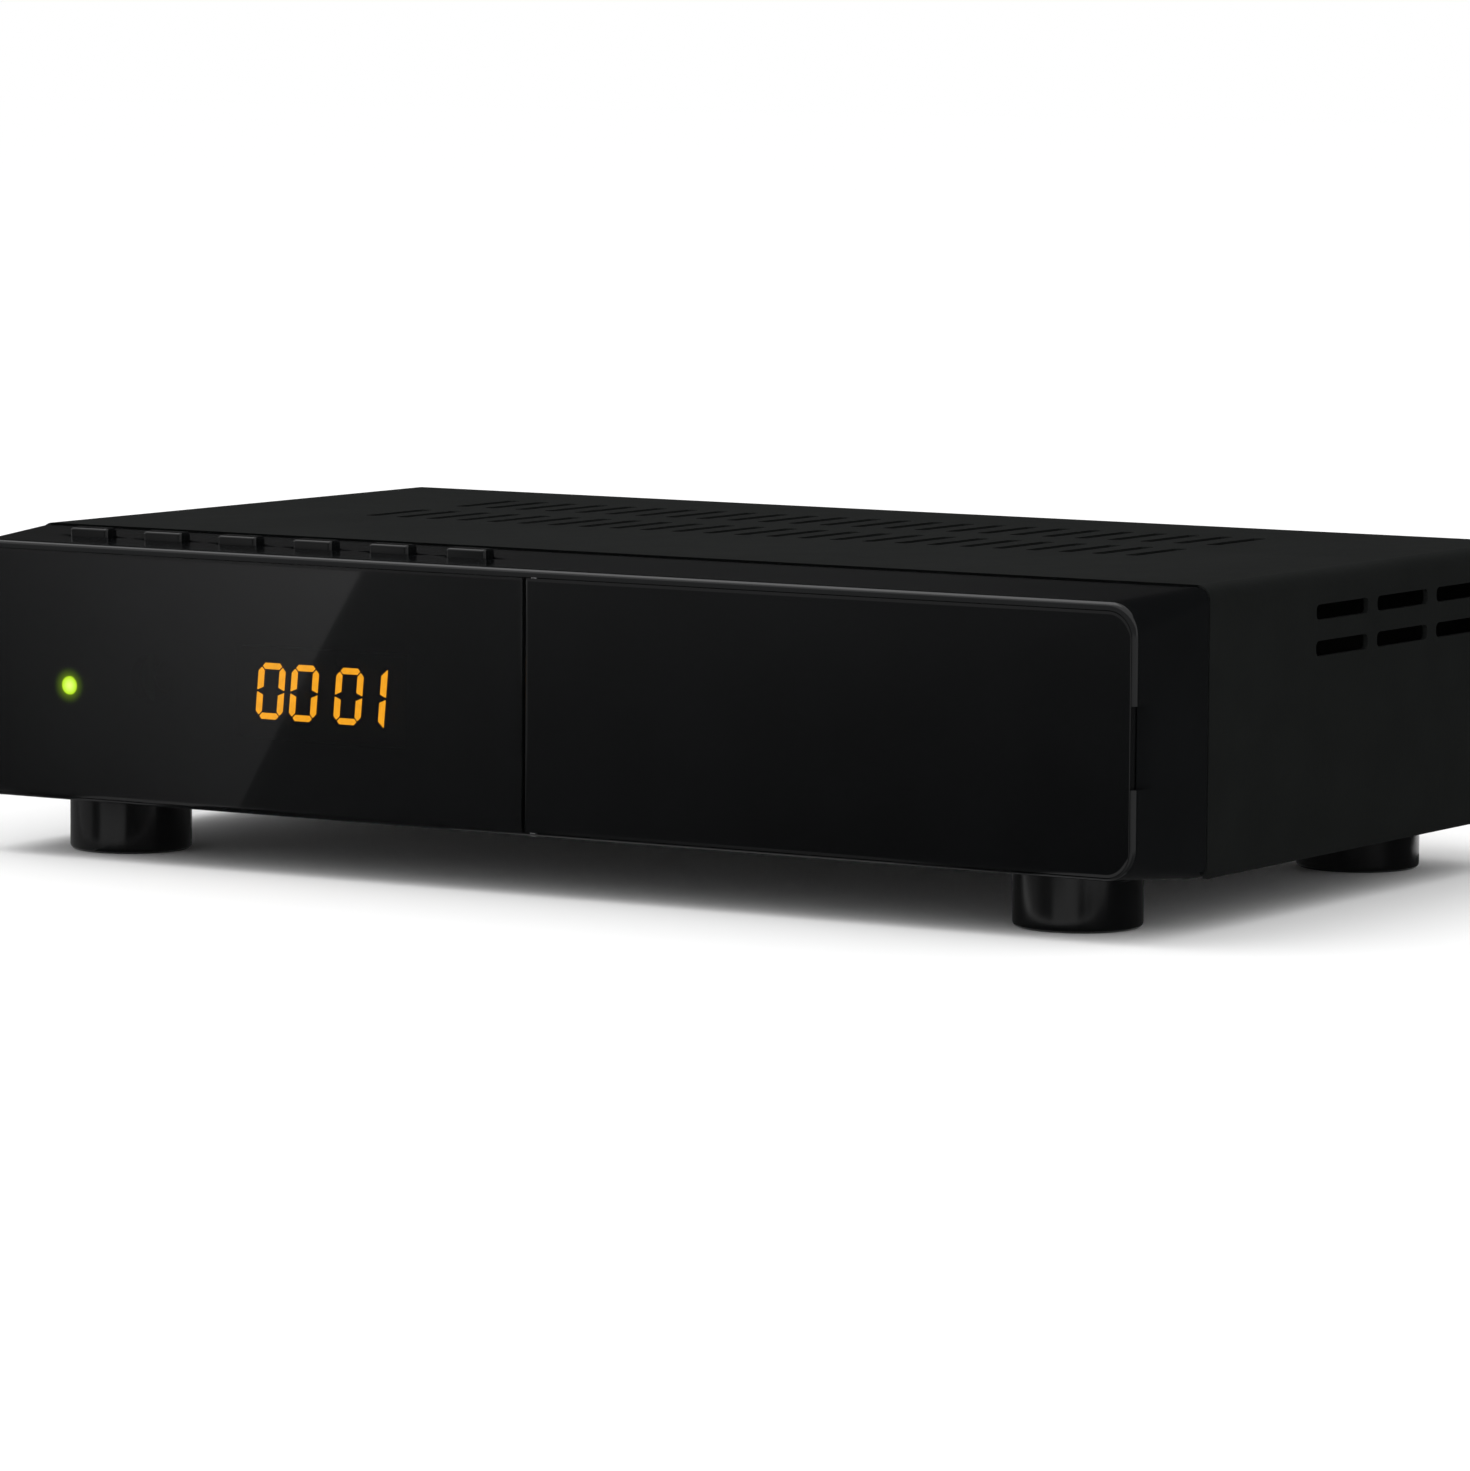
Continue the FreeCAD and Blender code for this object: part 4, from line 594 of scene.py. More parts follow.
@dataclass(frozen=True)
class PowderCoat(Finish):
    """Baked powder coat: satin, with orange peel over a finer grain."""

    peel_size: float = 1.4
    peel_depth: float = 0.012

    def dress(self, shader: Shader) -> None:
        """Add the peel to the grain.

        Args:
            shader: Shader to set up.
        """
        Finish.dress(self, shader)
        peel = shader.span(shader.noise(self.peel_size, 1.0), 0, self.peel_depth, 0, 1)
        grain = shader.span(shader.noise(self.grain_size, 2.0), 0, self.grain_depth, 0, 1)
        shader.bump(shader.count("ADD", peel, grain), 1.0)


@dataclass(frozen=True)
class SmokedPanel(Finish):
    """Polished dark acrylic that bright lights shine through, with a faint painted glow around one of them.
    """

    alpha: float = 0.6
    # Painted glow around the status light: its colour, its middle across the face, the depth from which it is
    # painted, and how it fades.
    painted_halo: Colour = (0.55, 1.0, 0.0)
    painted_halo_x: float = 0.0
    painted_halo_y: float = 0.0
    painted_halo_z: float = 0.0
    painted_halo_span: Span = (1.1, 3.4)
    painted_halo_fall: float = 2.2

    def dress(self, shader: Shader) -> None:
        """Let some light through, and paint a faint glow on the back face around the status light.

        Args:
            shader: Shader to set up.
        """
        Finish.dress(self, shader)
        shader.fix(Alpha=self.alpha, Emission_Color=(*self.painted_halo, 1.0))
        # The glow is painted as emission on the back face and fades with distance from the status light.
        distance = shader.distance_from(self.painted_halo_x, self.painted_halo_z)
        fading = shader.span(distance, 1.0, 0.0, self.painted_halo_span[0] * MM, self.painted_halo_span[1] * MM)
        behind = shader.count("GREATER_THAN", shader.axis(Y), self.painted_halo_y * MM)
        glow = shader.count("MULTIPLY", shader.count("POWER", fading, self.painted_halo_fall), behind)
        shader.feed("Emission Strength", glow)


@dataclass(frozen=True)
class LitBars(Finish):
    """Glowing display bars, not perfectly even."""

    power: float = 6.2
    flicker: Span = (0.92, 1.06)
    flicker_size: float = 1.2

    def dress(self, shader: Shader) -> None:
        """Make the bars glow.

        Args:
            shader: Shader to set up.
        """
        Finish.dress(self, shader)
        shader.fix(Emission_Color=(*self.colour, 1.0))
        glow = shader.span(shader.noise(self.flicker_size, 1.0), *(self.power * end for end in self.flicker))
        shader.feed("Emission Strength", glow)


@dataclass(frozen=True)
class StatusGlow(Finish):
    """Clear rod lit from behind: brightest in its middle."""

    centre_x: float = 0.0
    centre_z: float = 0.0
    tip_y: float = 0.0
    radius: float = 1.5
    core: Colour = (0.78, 0.93, 0.24)
    power: float = 5.6
    fade: Span = (0.1, 0.95)
    rim_share: float = 0.8

    def dress(self, shader: Shader) -> None:
        """Fade the glow from a pale core to a deeper rim, and keep it to the tip.

        Args:
            shader: Shader to set up.
        """
        Finish.dress(self, shader)
        distance = shader.distance_from(self.centre_x, self.centre_z)
        fading = shader.span(distance, 0.0, 1.0, *(self.radius * share * MM for share in self.fade))
        shader.feed("Emission Color", shader.mix(fading, self.core, self.colour))
        tip = shader.count("LESS_THAN", shader.axis(Y), self.tip_y * MM)
        strength = shader.span(fading, self.power, self.power * self.rim_share, 0.0, 1.0)
        shader.feed("Emission Strength", shader.count("MULTIPLY", strength, tip))


@dataclass(frozen=True)
class BrushedMetal(Finish):
    """Plated or rolled metal with fine lines along one axis."""

    line_stretch: Point = (1.0, 1.0, 40.0)
    line_size: float = 0.5
    line_depth: float = 0.004

    def dress(self, shader: Shader) -> None:
        """Raise the fine lines."""
        Finish.dress(self, shader)
        shader.bump(shader.noise(self.line_size, 3.0, shader.stretched(self.line_stretch)), self.line_depth)


@dataclass(frozen=True)
class SolderMask(Finish):
    """Circuit board: solder mask over copper tracks."""

    track_pitch: float = 2.5
    track_light: float = 1.9

    def dress(self, shader: Shader) -> None:
        """Draw copper tracks as the joints of a brick pattern.

        Args:
            shader: Shader to set up.
        """
        Finish.dress(self, shader)
        bricks = shader.add("TexBrick")
        bricks.inputs["Scale"].default_value = 1.0 / (self.track_pitch * MM)
        shader.link(shader.place, bricks.inputs["Vector"])
        bright = tuple(min(1.0, c * self.track_light) for c in self.colour)
        shader.feed("Base Color", shader.mix(bricks.outputs["Fac"], self.colour, bright))


BLACK_COAT = PowderCoat("satin_black_coat", (0.0088, 0.0099, 0.0094), roughness=0.55, gloss_spread=0.03,
                        specular=0.17, mottle=0.05, mottle_size=9.0, grain_size=0.35, grain_depth=0.012)
TRAY_COAT = replace(BLACK_COAT, name="tray_black_coat", colour=(0.0082, 0.0090, 0.0086), roughness=0.52,
                    specular=0.2)
BEZEL_GLOSS = Finish("moulded_gloss_black", (0.0029, 0.0033, 0.0036), roughness=0.13, gloss_spread=0.02,
                     specular=0.42, grain_size=6.0, grain_depth=0.0012)
PANEL_GLOSS = Finish("piano_black", (0.0022, 0.0024, 0.0026), roughness=0.02, gloss_spread=0.008,
                     grain_size=12.0, grain_depth=0.0001)
WINDOW_SMOKE = SmokedPanel("smoked_acrylic", (0.0030, 0.0033, 0.0036), roughness=0.02, gloss_spread=0.008,
                           specular=0.72, grain_size=12.0, grain_depth=0.0001)
KEY_GLOSS = Finish("key_gloss_black", (0.0028, 0.0031, 0.0033), roughness=0.13, gloss_spread=0.025,
                   specular=0.38, grain_size=4.0, grain_depth=0.0008)
FOOT_GLOSS = Finish("foot_gloss_black", (0.0024, 0.0027, 0.0030), roughness=0.2, gloss_spread=0.04,
                    specular=0.45, grain_size=3.0, grain_depth=0.001)
SOCKET_BLACK = Finish("socket_black", (0.02, 0.02, 0.02), roughness=0.45, grain_size=0.3, grain_depth=0.01)
AMBER_PLASTIC = Finish("amber_plastic", (0.62, 0.16, 0.01), roughness=0.35, mottle=0.05)
CHIP_BLACK = Finish("chip_epoxy", (0.016, 0.016, 0.017), roughness=0.6, grain_size=0.2, grain_depth=0.01)
LENS_BLACK = Finish("lens_black", (0.003, 0.003, 0.003), roughness=0.3, specular=0.3)
WHITE_NYLON = Finish("white_nylon", (0.74, 0.73, 0.69), roughness=0.42, mottle=0.04)
CREAM_PLUG = Finish("cream_plug", (0.78, 0.75, 0.66), mottle=0.05)
ZINC = BrushedMetal("zinc_plate", (0.55, 0.55, 0.56), roughness=0.32, metallic=1.0)
BLACK_OXIDE = Finish("black_oxide", (0.03, 0.03, 0.032), roughness=0.36, metallic=0.6)
NICKEL = BrushedMetal("nickel_plate", (0.66, 0.64, 0.60), roughness=0.24, metallic=1.0)
GOLD = BrushedMetal("gold_flash", (0.80, 0.57, 0.20), roughness=0.25, metallic=1.0)
ALUMINIUM = BrushedMetal("anodised_aluminium", (0.60, 0.60, 0.61), roughness=0.4, metallic=1.0)
CAN_SLEEVE = Finish("sleeve_blue_black", (0.03, 0.04, 0.08), roughness=0.35)
RIBBON = Finish("ribbon_film", (0.70, 0.72, 0.73), roughness=0.4, mottle=0.05)
BOARD_GREEN = SolderMask("solder_mask", (0.014, 0.11, 0.045), roughness=0.35)
AMBER = LitBars("lit_amber", (0.871, 0.37, 0.013), roughness=0.4)

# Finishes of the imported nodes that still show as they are.
NODE_FINISHES: tuple[tuple[Finish, str], ...] = (
    (TRAY_COAT, "base_chassis"),
    (ZINC, "foot_screws board_screws front_board_screws flap_hinge_pins"),
    (BOARD_GREEN, "main_board front_board"),
    (LENS_BLACK, "display_module ir_receiver"),
    (WHITE_NYLON, "status_led lnb_insulator usb_tongue"),
    (WHITE_NYLON, "plunger_1 plunger_2 plunger_3 plunger_4 plunger_5 plunger_6"),
    (SOCKET_BLACK, "key_switches audio_socket_body hdmi_tongue ethernet_socket scart_socket dc_jack"),
    (SOCKET_BLACK, "card_reader"),
    (RIBBON, "ribbon_cable"),
    (CREAM_PLUG, "ribbon_connectors"),
    (CHIP_BLACK, "main_chip memory_chips inductors"),
    (ALUMINIUM, "heat_sink"),
    (CAN_SLEEVE, "capacitors"),
    (NICKEL, "tuner_can hdmi_socket dc_jack_pin usb_socket"),
)


def dress_node(node: str, finish: Finish) -> None:
    """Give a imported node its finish.

    Args:
        node: Name of the node.
        finish: Finish of its surface.
    """
    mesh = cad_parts[node].data
    mesh.materials.clear()
    mesh.materials.append(finish.material())


# ---- sub-assemblies ----


@dataclass
class TopCover:
    """Bent steel cover: two rows of vents in its top, two in each side, a rear lip and two tabs."""

    wall: float = 0.8
    undercut: float = 0.75
    bend: float = 2.3
    vent_long: float = 17.5
    vent_wide: float = 2.4
    vent_corner: float = 0.9
    corner_steps: int = 4
    columns: int = 25
    pitch: float = 6.09
    middle_x: float = -1.5
    row_from_rear: Span = (64.0, 37.0)
    side_pitch: float = 20.7
    side_count: int = 3
    side_from_rear: float = 73.9
    side_rows: Span = (39.45, 45.1)
    lip_drop: float = 9.0
    tab_width: float = 11.0
    tab_span: Span = (10.5, 23.5)

    def build(self) -> None:
        """Fold the sheet, cut its vents and publish it."""
        self.box = Extent.of("top_cover")
        form = self.folded_sheet()
        self.cut_top_vents(form)
        self.cut_side_vents(form)
        self.fold_rear(form)
        self.thicken(form)
        publish(form, "cover_sheet", BLACK_COAT, stands_for=["top_cover"], crease=40.0)

    def folded_sheet(self) -> Form:
        """The outer skin: two sides and the top, with round bends between them.

        Returns:
            The skin.
        """
        form = bmesh.new()
        add_box(form, *(self.box.span(axis) for axis in (X, Y, Z)))
        flat = [face for face in form.faces if abs(face.normal.y) > 0.5 or face.normal.z < -0.5]
        bmesh.ops.delete(form, geom=flat, context="FACES")
        top = self.box.high.z - NEAR
        round_edges(form, edges_where(form, lambda a, b: min(a.z, b.z) > top), self.bend, 8)
        return form

    def cut_vents(self, form: Form, facing: int, along: int, edges: Sequence[float], rows: Sequence[Span],
                  margin: float, extra: Sequence[float] = ()) -> None:
        """Cut rows of round-cornered slots into the flat faces that look along one axis.

        Args:
            form: Sheet to cut.
            facing: Axis that the faces look along.
            along: Axis that a row runs along.
            edges: Places along that axis between which the slots lie.
            rows: Both ends of each row, across it.
            margin: How far a slot keeps from the edges of its cell.
            extra: More levels across the rows at which the sheet gets an edge.
        """
        cross = 3 - facing - along

        def flat(face: Face) -> bool:
            """Whether a face looks along the axis."""
            return abs(face.normal[facing]) > FLAT

        def in_row(face: Face) -> bool:
            """Whether a face is the cell of a slot."""
            spot = face.calc_center_median()
            inside = edges[0] < spot[along] < edges[-1] and any(a < spot[cross] < b for a, b in rows)
            return flat(face) and inside

        form.normal_update()
        split_at(form, flat, along, edges)
        split_at(form, flat, cross, [*(level for row in rows for level in row), *extra])
        form.normal_update()
        cells = [face for face in form.faces if in_row(face)]
        centres = [face.calc_center_median() for face in cells]
        bmesh.ops.inset_individual(form, faces=cells, thickness=margin, use_even_offset=True)
        round_corners(form, dict.fromkeys(v for face in cells for v in face.verts), self.vent_corner,
                      self.corner_steps)
        slots = [face for face in form.faces if len(face.verts) >= 4 * self.corner_steps
                 and any((face.calc_center_median() - centre).length < 5 * NEAR for centre in centres)]
        bmesh.ops.delete(form, geom=slots, context="FACES")

    def cut_top_vents(self, form: Form) -> None:
        """Two rows of vents across the top.

        Args:
            form: Sheet to cut.
        """
        margin = (self.pitch - self.vent_wide) / 2
        first = self.middle_x - self.pitch * self.columns / 2
        rear = self.box.high.y
        rows = [grown((rear - start, rear - start + self.vent_long), margin) for start in self.row_from_rear]
        edges = [first + self.pitch * step for step in range(self.columns + 1)]
        self.cut_vents(form, Z, X, edges, rows, margin)

    def cut_side_vents(self, form: Form) -> None:
        """Two rows of vents in each side, and the edges that the tabs fold from.

        Args:
            form: Sheet to cut.
        """
        margin = (self.side_pitch - self.vent_long) / 2
        start = self.box.high.y - self.side_from_rear - margin
        rows = [grown((low, low + self.vent_wide), margin) for low in self.side_rows]
        edges = [start + self.side_pitch * step for step in range(self.side_count + 1)]
        self.cut_vents(form, X, Y, edges, rows, margin, self.tab_span)

    def fold_rear(self, form: Form) -> None:
        """Fold the lip down and the two tabs in, over the rear panel.

        Args:
            form: Sheet to fold.
        """
        low, high = self.box.low, self.box.high
        lip_half = high.x - self.tab_width
        split_at(form, lambda face: face.normal.z > FLAT, X, [-lip_half, lip_half])
        border = [edge for edge in form.edges if edge.is_boundary
                  and all(v.co.y > high.y - NEAR for v in edge.verts)]
        lip = [edge for edge in border
               if all(v.co.z > high.z - NEAR and abs(v.co.x) < lip_half + NEAR for v in edge.verts)]
        self.extend(form, lip, (0, 0, -self.lip_drop))
        floor, ceiling = grown(self.tab_span, NEAR)
        for side in (low.x, high.x):
            tab = [edge for edge in border if edge.is_valid
                   and all(abs(v.co.x - side) < NEAR and floor < v.co.z < ceiling for v in edge.verts)]
            self.extend(form, tab, (math.copysign(self.tab_width, -side), 0, 0))

    @staticmethod
    def extend(form: Form, edges: Sequence[Edge], shift: Point) -> None:
        """Extrude border edges.

        Args:
            form: Sheet that the edges belong to.
            edges: Edges to extrude.
            shift: How far and which way.
        """
        made = bmesh.ops.extrude_edge_only(form, edges=list(edges))["geom"]
        bmesh.ops.translate(form, vec=shift, verts=only(Vert, made))
        bmesh.ops.recalc_face_normals(form, faces=form.faces[:])

    def thicken(self, form: Form) -> None:
        """Give the sheet its wall and cut the front edge of its top back underneath, which darkens the seam.

        Args:
            form: Sheet to thicken.
        """
        front, under_top = self.box.low.y + NEAR, self.box.high.z - self.wall
        bmesh.ops.solidify(form, geom=form.faces[:], thickness=self.wall)
        for spot in form.verts:
            if spot.co.y < front and abs(spot.co.z - under_top) < NEAR:
                spot.co.y += self.undercut


@dataclass
class FrontBezel:
    """Moulded front: rounded rim, panel seat, deck openings, flap bay and finger notch."""

    depth: float = 21.0
    inset: float = 0.74
    deck_drop: float = 1.25
    chin_rise: float = 1.3
    front_corner: float = 5.0
    seam_corner: float = 2.3
    edge_depth: float = 0.8
    # Depth behind the front, and the share of the rim's width that the outline is drawn in there.
    edge_profile: tuple[Span, ...] = ((0.0, 1.04), (0.10, 0.55), (0.16, 0.38), (0.26, 0.25), (0.40, 0.13),
                                      (0.57, 0.05), (0.80, 0.0))
    rim_top: float = 1.3
    rim_side: float = 0.95
    rim_bottom: float = 0.45
    seam_step: float = 0.25
    wall: float = 2.0
    panel: float = 2.0
    flap_rest: float = 0.15
    tongue_inset: float = 0.95
    tongue_wall: float = 1.5
    hollow_corner: float = 1.5
    centre_gap: float = 0.36
    relief_wide: float = 5.2
    relief_extra: float = 1.0
    bay_wall: float = 1.8
    bay_depth: float = 9.0
    bay_corner: float = 1.5
    bay_x: Span = (14.0, 100.0)
    bay_z: Span = (14.8, 32.0)
    card_half: Span = (27.5, 1.4)
    mouth_play: float = 0.3
    guide_hole: float = 1.55
    eye_hole: float = 4.1
    hole_long: float = 9.0
    catch_half: Span = (1.1, 4.6)
    catch_inset: float = 4.15
    belly_inset: float = 1.6
    belly_gap: float = 0.3
    notch_z: Span = (23.6, 36.1)
    notch_deep: float = 1.6
    notch_reach: float = 4.6
    key_half: Span = (4.05, 1.7)
    slit_reach: float = 2.65
    slit_half: Span = (0.9, 0.35)

    def __post_init__(self) -> None:
        """Read the places of the rim from the frame."""
        cover, bezel = Extent.of("top_cover"), Extent.of("front_bezel")
        self.front = bezel.low.y
        self.half = cover.high.x
        self.top = cover.high.z
        self.base = cover.low.z
        self.back = bezel.high.y
        self.half_front = self.half - self.inset
        self.deck = self.top - self.deck_drop
        self.chin = self.base + self.chin_rise
        self.seat_half = self.half_front - self.rim_side
        self.seat_z = (self.chin + self.rim_bottom, self.deck - self.rim_top)
        self.seat_corner = self.front_corner - self.rim_side

    def build(self) -> None:
        """Make the moulding from its solids and publish it."""
        form, tongue, hollow = bmesh.new(), bmesh.new(), bmesh.new()
        skin(form, self.outer_rings(form))
        tongue_half, tongue_top = self.half - self.tongue_inset, self.top - self.tongue_inset
        add_prism(tongue, Plane.XZ, (self.front + self.depth - self.wall, self.back), around(0, tongue_half),
                  (self.base, tongue_top), self.hollow_corner)
        form = carve(form, tongue, Carve.JOIN)
        depths = (self.panel + self.flap_rest + self.wall, self.depth + 2 * NEAR)
        skin(hollow, [self.ring(hollow, depth, (self.wall,) * 3, self.hollow_corner, 4) for depth in depths])
        add_prism(hollow, Plane.XZ, (self.front + self.depth - PAST / 2, self.back + PAST),
                  around(0, tongue_half - self.tongue_wall),
                  grown((self.base, tongue_top), -self.tongue_wall))
        form = carve(form, hollow, Carve.CUT)
        form = carve(form, self.bay_tub(), Carve.JOIN)
        form = carve(form, self.cutters(), Carve.CUT)
        publish(form, "bezel_moulding", BEZEL_GLOSS, stands_for=["front_bezel"], crease=24.0)

    def ring(self, form: Form, depth: float, insets: Sequence[float], corner: float | None = None,
             steps: int = 10) -> Face:
        """Outline of the moulding at a depth behind its front.

        Args:
            form: Mesh that the outline goes into.
            depth: Depth behind the front.
            insets: How far the outline is drawn in at the sides, the top and the bottom.
            corner: Corner radius, if it isn't the outer one.
            steps: Edges of each corner's arc.

        Returns:
            The face of the outline.
        """
        share = (depth - self.edge_depth) / (self.depth - self.edge_depth)
        half = self.half_front + self.inset * share - insets[0]
        low = self.chin - self.chin_rise * share + insets[2]
        high = self.deck + (self.deck_drop - self.seam_step) * share - insets[1]
        if corner is None:
            corner = self.front_corner + (self.seam_corner - self.front_corner) * share - insets[0]
        return add_plate(form, Plane.XZ, self.front + depth, around(0, half), (low, high), corner, steps)

    def outer_rings(self, form: Form) -> list[Face]:
        """Outlines from the front to the seam: a rim that leans back, then turns over the front edge."""
        widths = (self.rim_side, self.rim_top, self.rim_bottom)
        rings = [self.ring(form, depth, [width * share for width in widths])
                 for depth, share in self.edge_profile]
        return [*rings, self.ring(form, self.depth, (0.0, 0.0, 0.0))]

    def bay_tub(self) -> Form:
        """The tub of the bay behind the flap.

        Returns:
            The tub, still solid.
        """
        form = bmesh.new()
        start = self.front + self.panel + self.flap_rest + self.wall / 2
        add_prism(form, Plane.XZ, (start, self.front + self.bay_depth + self.bay_wall),
                  grown(self.bay_x, self.bay_wall), grown(self.bay_z, self.bay_wall))
        return form

    def cutters(self) -> Form:
        """Everything that is cut out of the moulding.

        Returns:
            The solids to cut out.
        """
        form = bmesh.new()
        ahead, seat_back = self.front - PAST, self.front + self.panel
        wall_back = seat_back + self.flap_rest + self.wall + PAST
        bay_back = self.front + self.bay_depth
        bay_rear = (bay_back - PAST, bay_back + self.bay_wall + PAST)
        gap, flap_z = self.centre_gap / 2, grown(self.seat_z, -NEAR)
        add_prism(form, Plane.XZ, (ahead, seat_back), around(0, self.seat_half), self.seat_z,
                  self.seat_corner, 10)
        add_prism(form, Plane.XZ, (ahead, seat_back + self.flap_rest), (-gap, self.seat_half - NEAR), flap_z,
                  self.seat_corner, 8)
        add_box(form, (-gap, self.relief_wide), (ahead, seat_back + self.relief_extra), grown(flap_z, -NEAR))
        add_prism(form, Plane.XZ, (ahead, bay_back), self.bay_x, self.bay_z, self.bay_corner, 5)
        card, usb, module = (Extent.of(node) for node in ("card_reader", "usb_socket", "display_module"))
        add_box(form, around(card.mid.x, self.card_half[0]), bay_rear, around(card.mid.z, self.card_half[1]))
        for box, deep in ((usb, bay_rear), (module, (ahead, wall_back))):
            add_box(form, box.span(X, self.mouth_play), deep, box.span(Z, self.mouth_play))
        for node, radius in (("led_light_guide", self.guide_hole), ("ir_receiver", self.eye_hole)):
            spot = Extent.of(node).mid
            add_drum(form, (spot.x, seat_back, spot.z), radius, self.hole_long, Plane.XZ)
        add_box(form, around(self.seat_half - self.catch_inset, self.catch_half[0]), (ahead, wall_back),
                around(sum(self.seat_z) / 2, self.catch_half[1]))
        self.add_notch(form)
        for key in range(1, 7):
            self.add_key_opening(form, Extent.of(f"button_{key}"))
        add_box(form, around(0, self.half - self.wall - self.belly_inset),
                (wall_back - PAST, self.back + PAST),
                (self.base - 2 * PAST, self.bay_z[0] - self.bay_wall - self.belly_gap))
        return form

    def add_notch(self, form: Form) -> None:
        """Finger notch: a wedge out of the right side that runs out towards the back.

        Args:
            form: Mesh that the wedge goes into.
        """
        edge, ahead, spare = self.half_front, self.front - PAST, 2 * PAST
        end = self.front + self.notch_reach * (self.notch_deep + spare) / self.notch_deep
        add_block(form, [(edge - self.notch_deep, ahead), (edge + spare, ahead), (edge + spare, end),
                         (edge - self.notch_deep, self.front)], self.notch_z)

    def add_key_opening(self, form: Form, button: Extent) -> None:
        """Deck opening of one key: a snug box for the cap with a tapering slit at each side.

        Args:
            form: Mesh that the opening goes into.
            button: Extent of the key.
        """
        (half, deep), (root, tip) = self.key_half, self.slit_half
        corners = [(half, deep), (half, root), (half + self.slit_reach, tip)]
        right = corners + [(x, -y) for x, y in reversed(corners)]
        outline = right + [(-x, y) for x, y in reversed(right)]
        add_block(form, [(button.mid.x + x, button.mid.y + y) for x, y in outline],
                  (self.deck - self.wall - 1.5 * PAST, self.top + PAST))


@dataclass
class FrontPanels:
    """Smoked display window on the left and the hinged flap on the right, both with leaning edges."""

    chamfer: float = 0.25
    lean: Span = (0.5, 0.13)
    corner: float = 3.9
    arc_steps: int = 10
    flap_edge: float = 0.85
    nose: Span = (1.0, 8.0)
    nose_inset: float = 4.0
    nose_edge: float = 0.3
    pin_inset: float = 1.7
    pin_hole: float = 3.5
    pin_play: float = 0.06
    seat_play: float = 0.06
    # Depth in front of the window's back face from which its painted glow starts.
    painted_halo_skin: float = 0.2

    def build(self) -> None:
        """Make both panels."""
        self.build_window()
        self.build_flap()

    def panel(self, box: Extent, thick: float, side: int) -> Form:
        """A panel whose outer corners are round.

        Args:
            box: Extent of the panel.
            thick: Its thickness.
            side: Side of its round corners: -1 for the left, 1 for the right.

        Returns:
            The panel.
        """
        form = bmesh.new()
        face = add_plate(form, Plane.XZ, box.low.y, box.span(X), box.span(Z))
        outer = box.low.x if side < 0 else box.high.x
        spots = [spot for spot in face.verts if abs(spot.co.x - outer) < NEAR]
        round_corners(form, spots, self.corner, self.arc_steps)
        pull(form, form.faces[:][0], (0, thick, 0))
        outward(form)
        return form

    def lean_edges(self, form: Form, box: Extent, side: int) -> None:
        """Let the front lean back a little along its outer edges, by cutting a flat bite at each.

        Args:
            form: Convex panel to change.
            box: Extent of the panel.
            side: Side of its round corners: -1 for the left, 1 for the right.
        """
        wide, deep = self.lean
        outer = box.low.x if side < 0 else box.high.x
        for step in range(-self.arc_steps, self.arc_steps + 1):
            turn = math.radians(90 * step / self.arc_steps)
            out = Vector((side * math.cos(turn), 0, math.sin(turn)))
            level = box.high.z - self.corner if step > 0 else box.low.z + self.corner
            point = Vector((outer - side * self.corner, box.low.y, level)) + out * (self.corner - wide)
            cut = bmesh.ops.bisect_plane(form, geom=[*form.verts, *form.edges, *form.faces], dist=WELD,
                                         plane_co=point, plane_no=out * deep - Vector((0, wide, 0)),
                                         clear_outer=True)["geom_cut"]
            bmesh.ops.edgeloop_fill(form, edges=only(Edge, cut))

    def build_window(self) -> None:
        """Display window of the left half."""
        box = Extent.of("display_window")
        form = self.panel(box, box.size.y - self.seat_play, -1)
        round_edges(form, edges_where(form, lambda a, b: max(a.y, b.y) < box.low.y + NEAR
                                      and min(a.x, b.x) > box.high.x - NEAR), self.chamfer, 3)
        self.lean_edges(form, box, -1)
        light = Extent.of("led_light_guide").mid
        # The window gets a painted glow around the status light.
        smoke = replace(WINDOW_SMOKE, painted_halo_x=light.x, painted_halo_z=light.z, painted_halo_y=box.high.y - self.painted_halo_skin)
        publish(form, "window_panel", smoke, stands_for=["display_window"], crease=50.0)

    def build_flap(self) -> None:
        """Flap of the right half, with its round hinge edge, pin holes and catch nose."""
        box, pins = Extent.of("flap_door"), Extent.of("flap_hinge_pins")
        thick = Extent.of("display_window").size.y
        form, holes, nose = self.panel(box, thick, 1), bmesh.new(), bmesh.new()
        round_edges(form, edges_where(form, lambda a, b: max(a.x, b.x) < box.low.x + NEAR
                                      and abs(a.z - b.z) > 1), self.flap_edge, 6)
        self.lean_edges(form, box, 1)
        for level in grown(pins.span(Z), -self.pin_inset):
            add_drum(holes, (pins.mid.x, pins.mid.y, level), pins.size.x / 2 + self.pin_play, self.pin_hole,
                     Plane.XY, 24)
        form = carve(form, holes, Carve.CUT)
        add_box(nose, around(box.high.x - self.nose_inset, self.nose[0] / 2),
                (box.low.y + thick / 2, box.high.y), around(box.mid.z, self.nose[1] / 2))
        tip = box.high.y - NEAR
        round_edges(nose, edges_where(nose, lambda a, b: min(a.y, b.y) > tip), self.nose_edge, 3)
        form = carve(form, nose, Carve.JOIN)
        publish(form, "flap_panel", PANEL_GLOSS, "flap", ["flap_door"], crease=24.0)


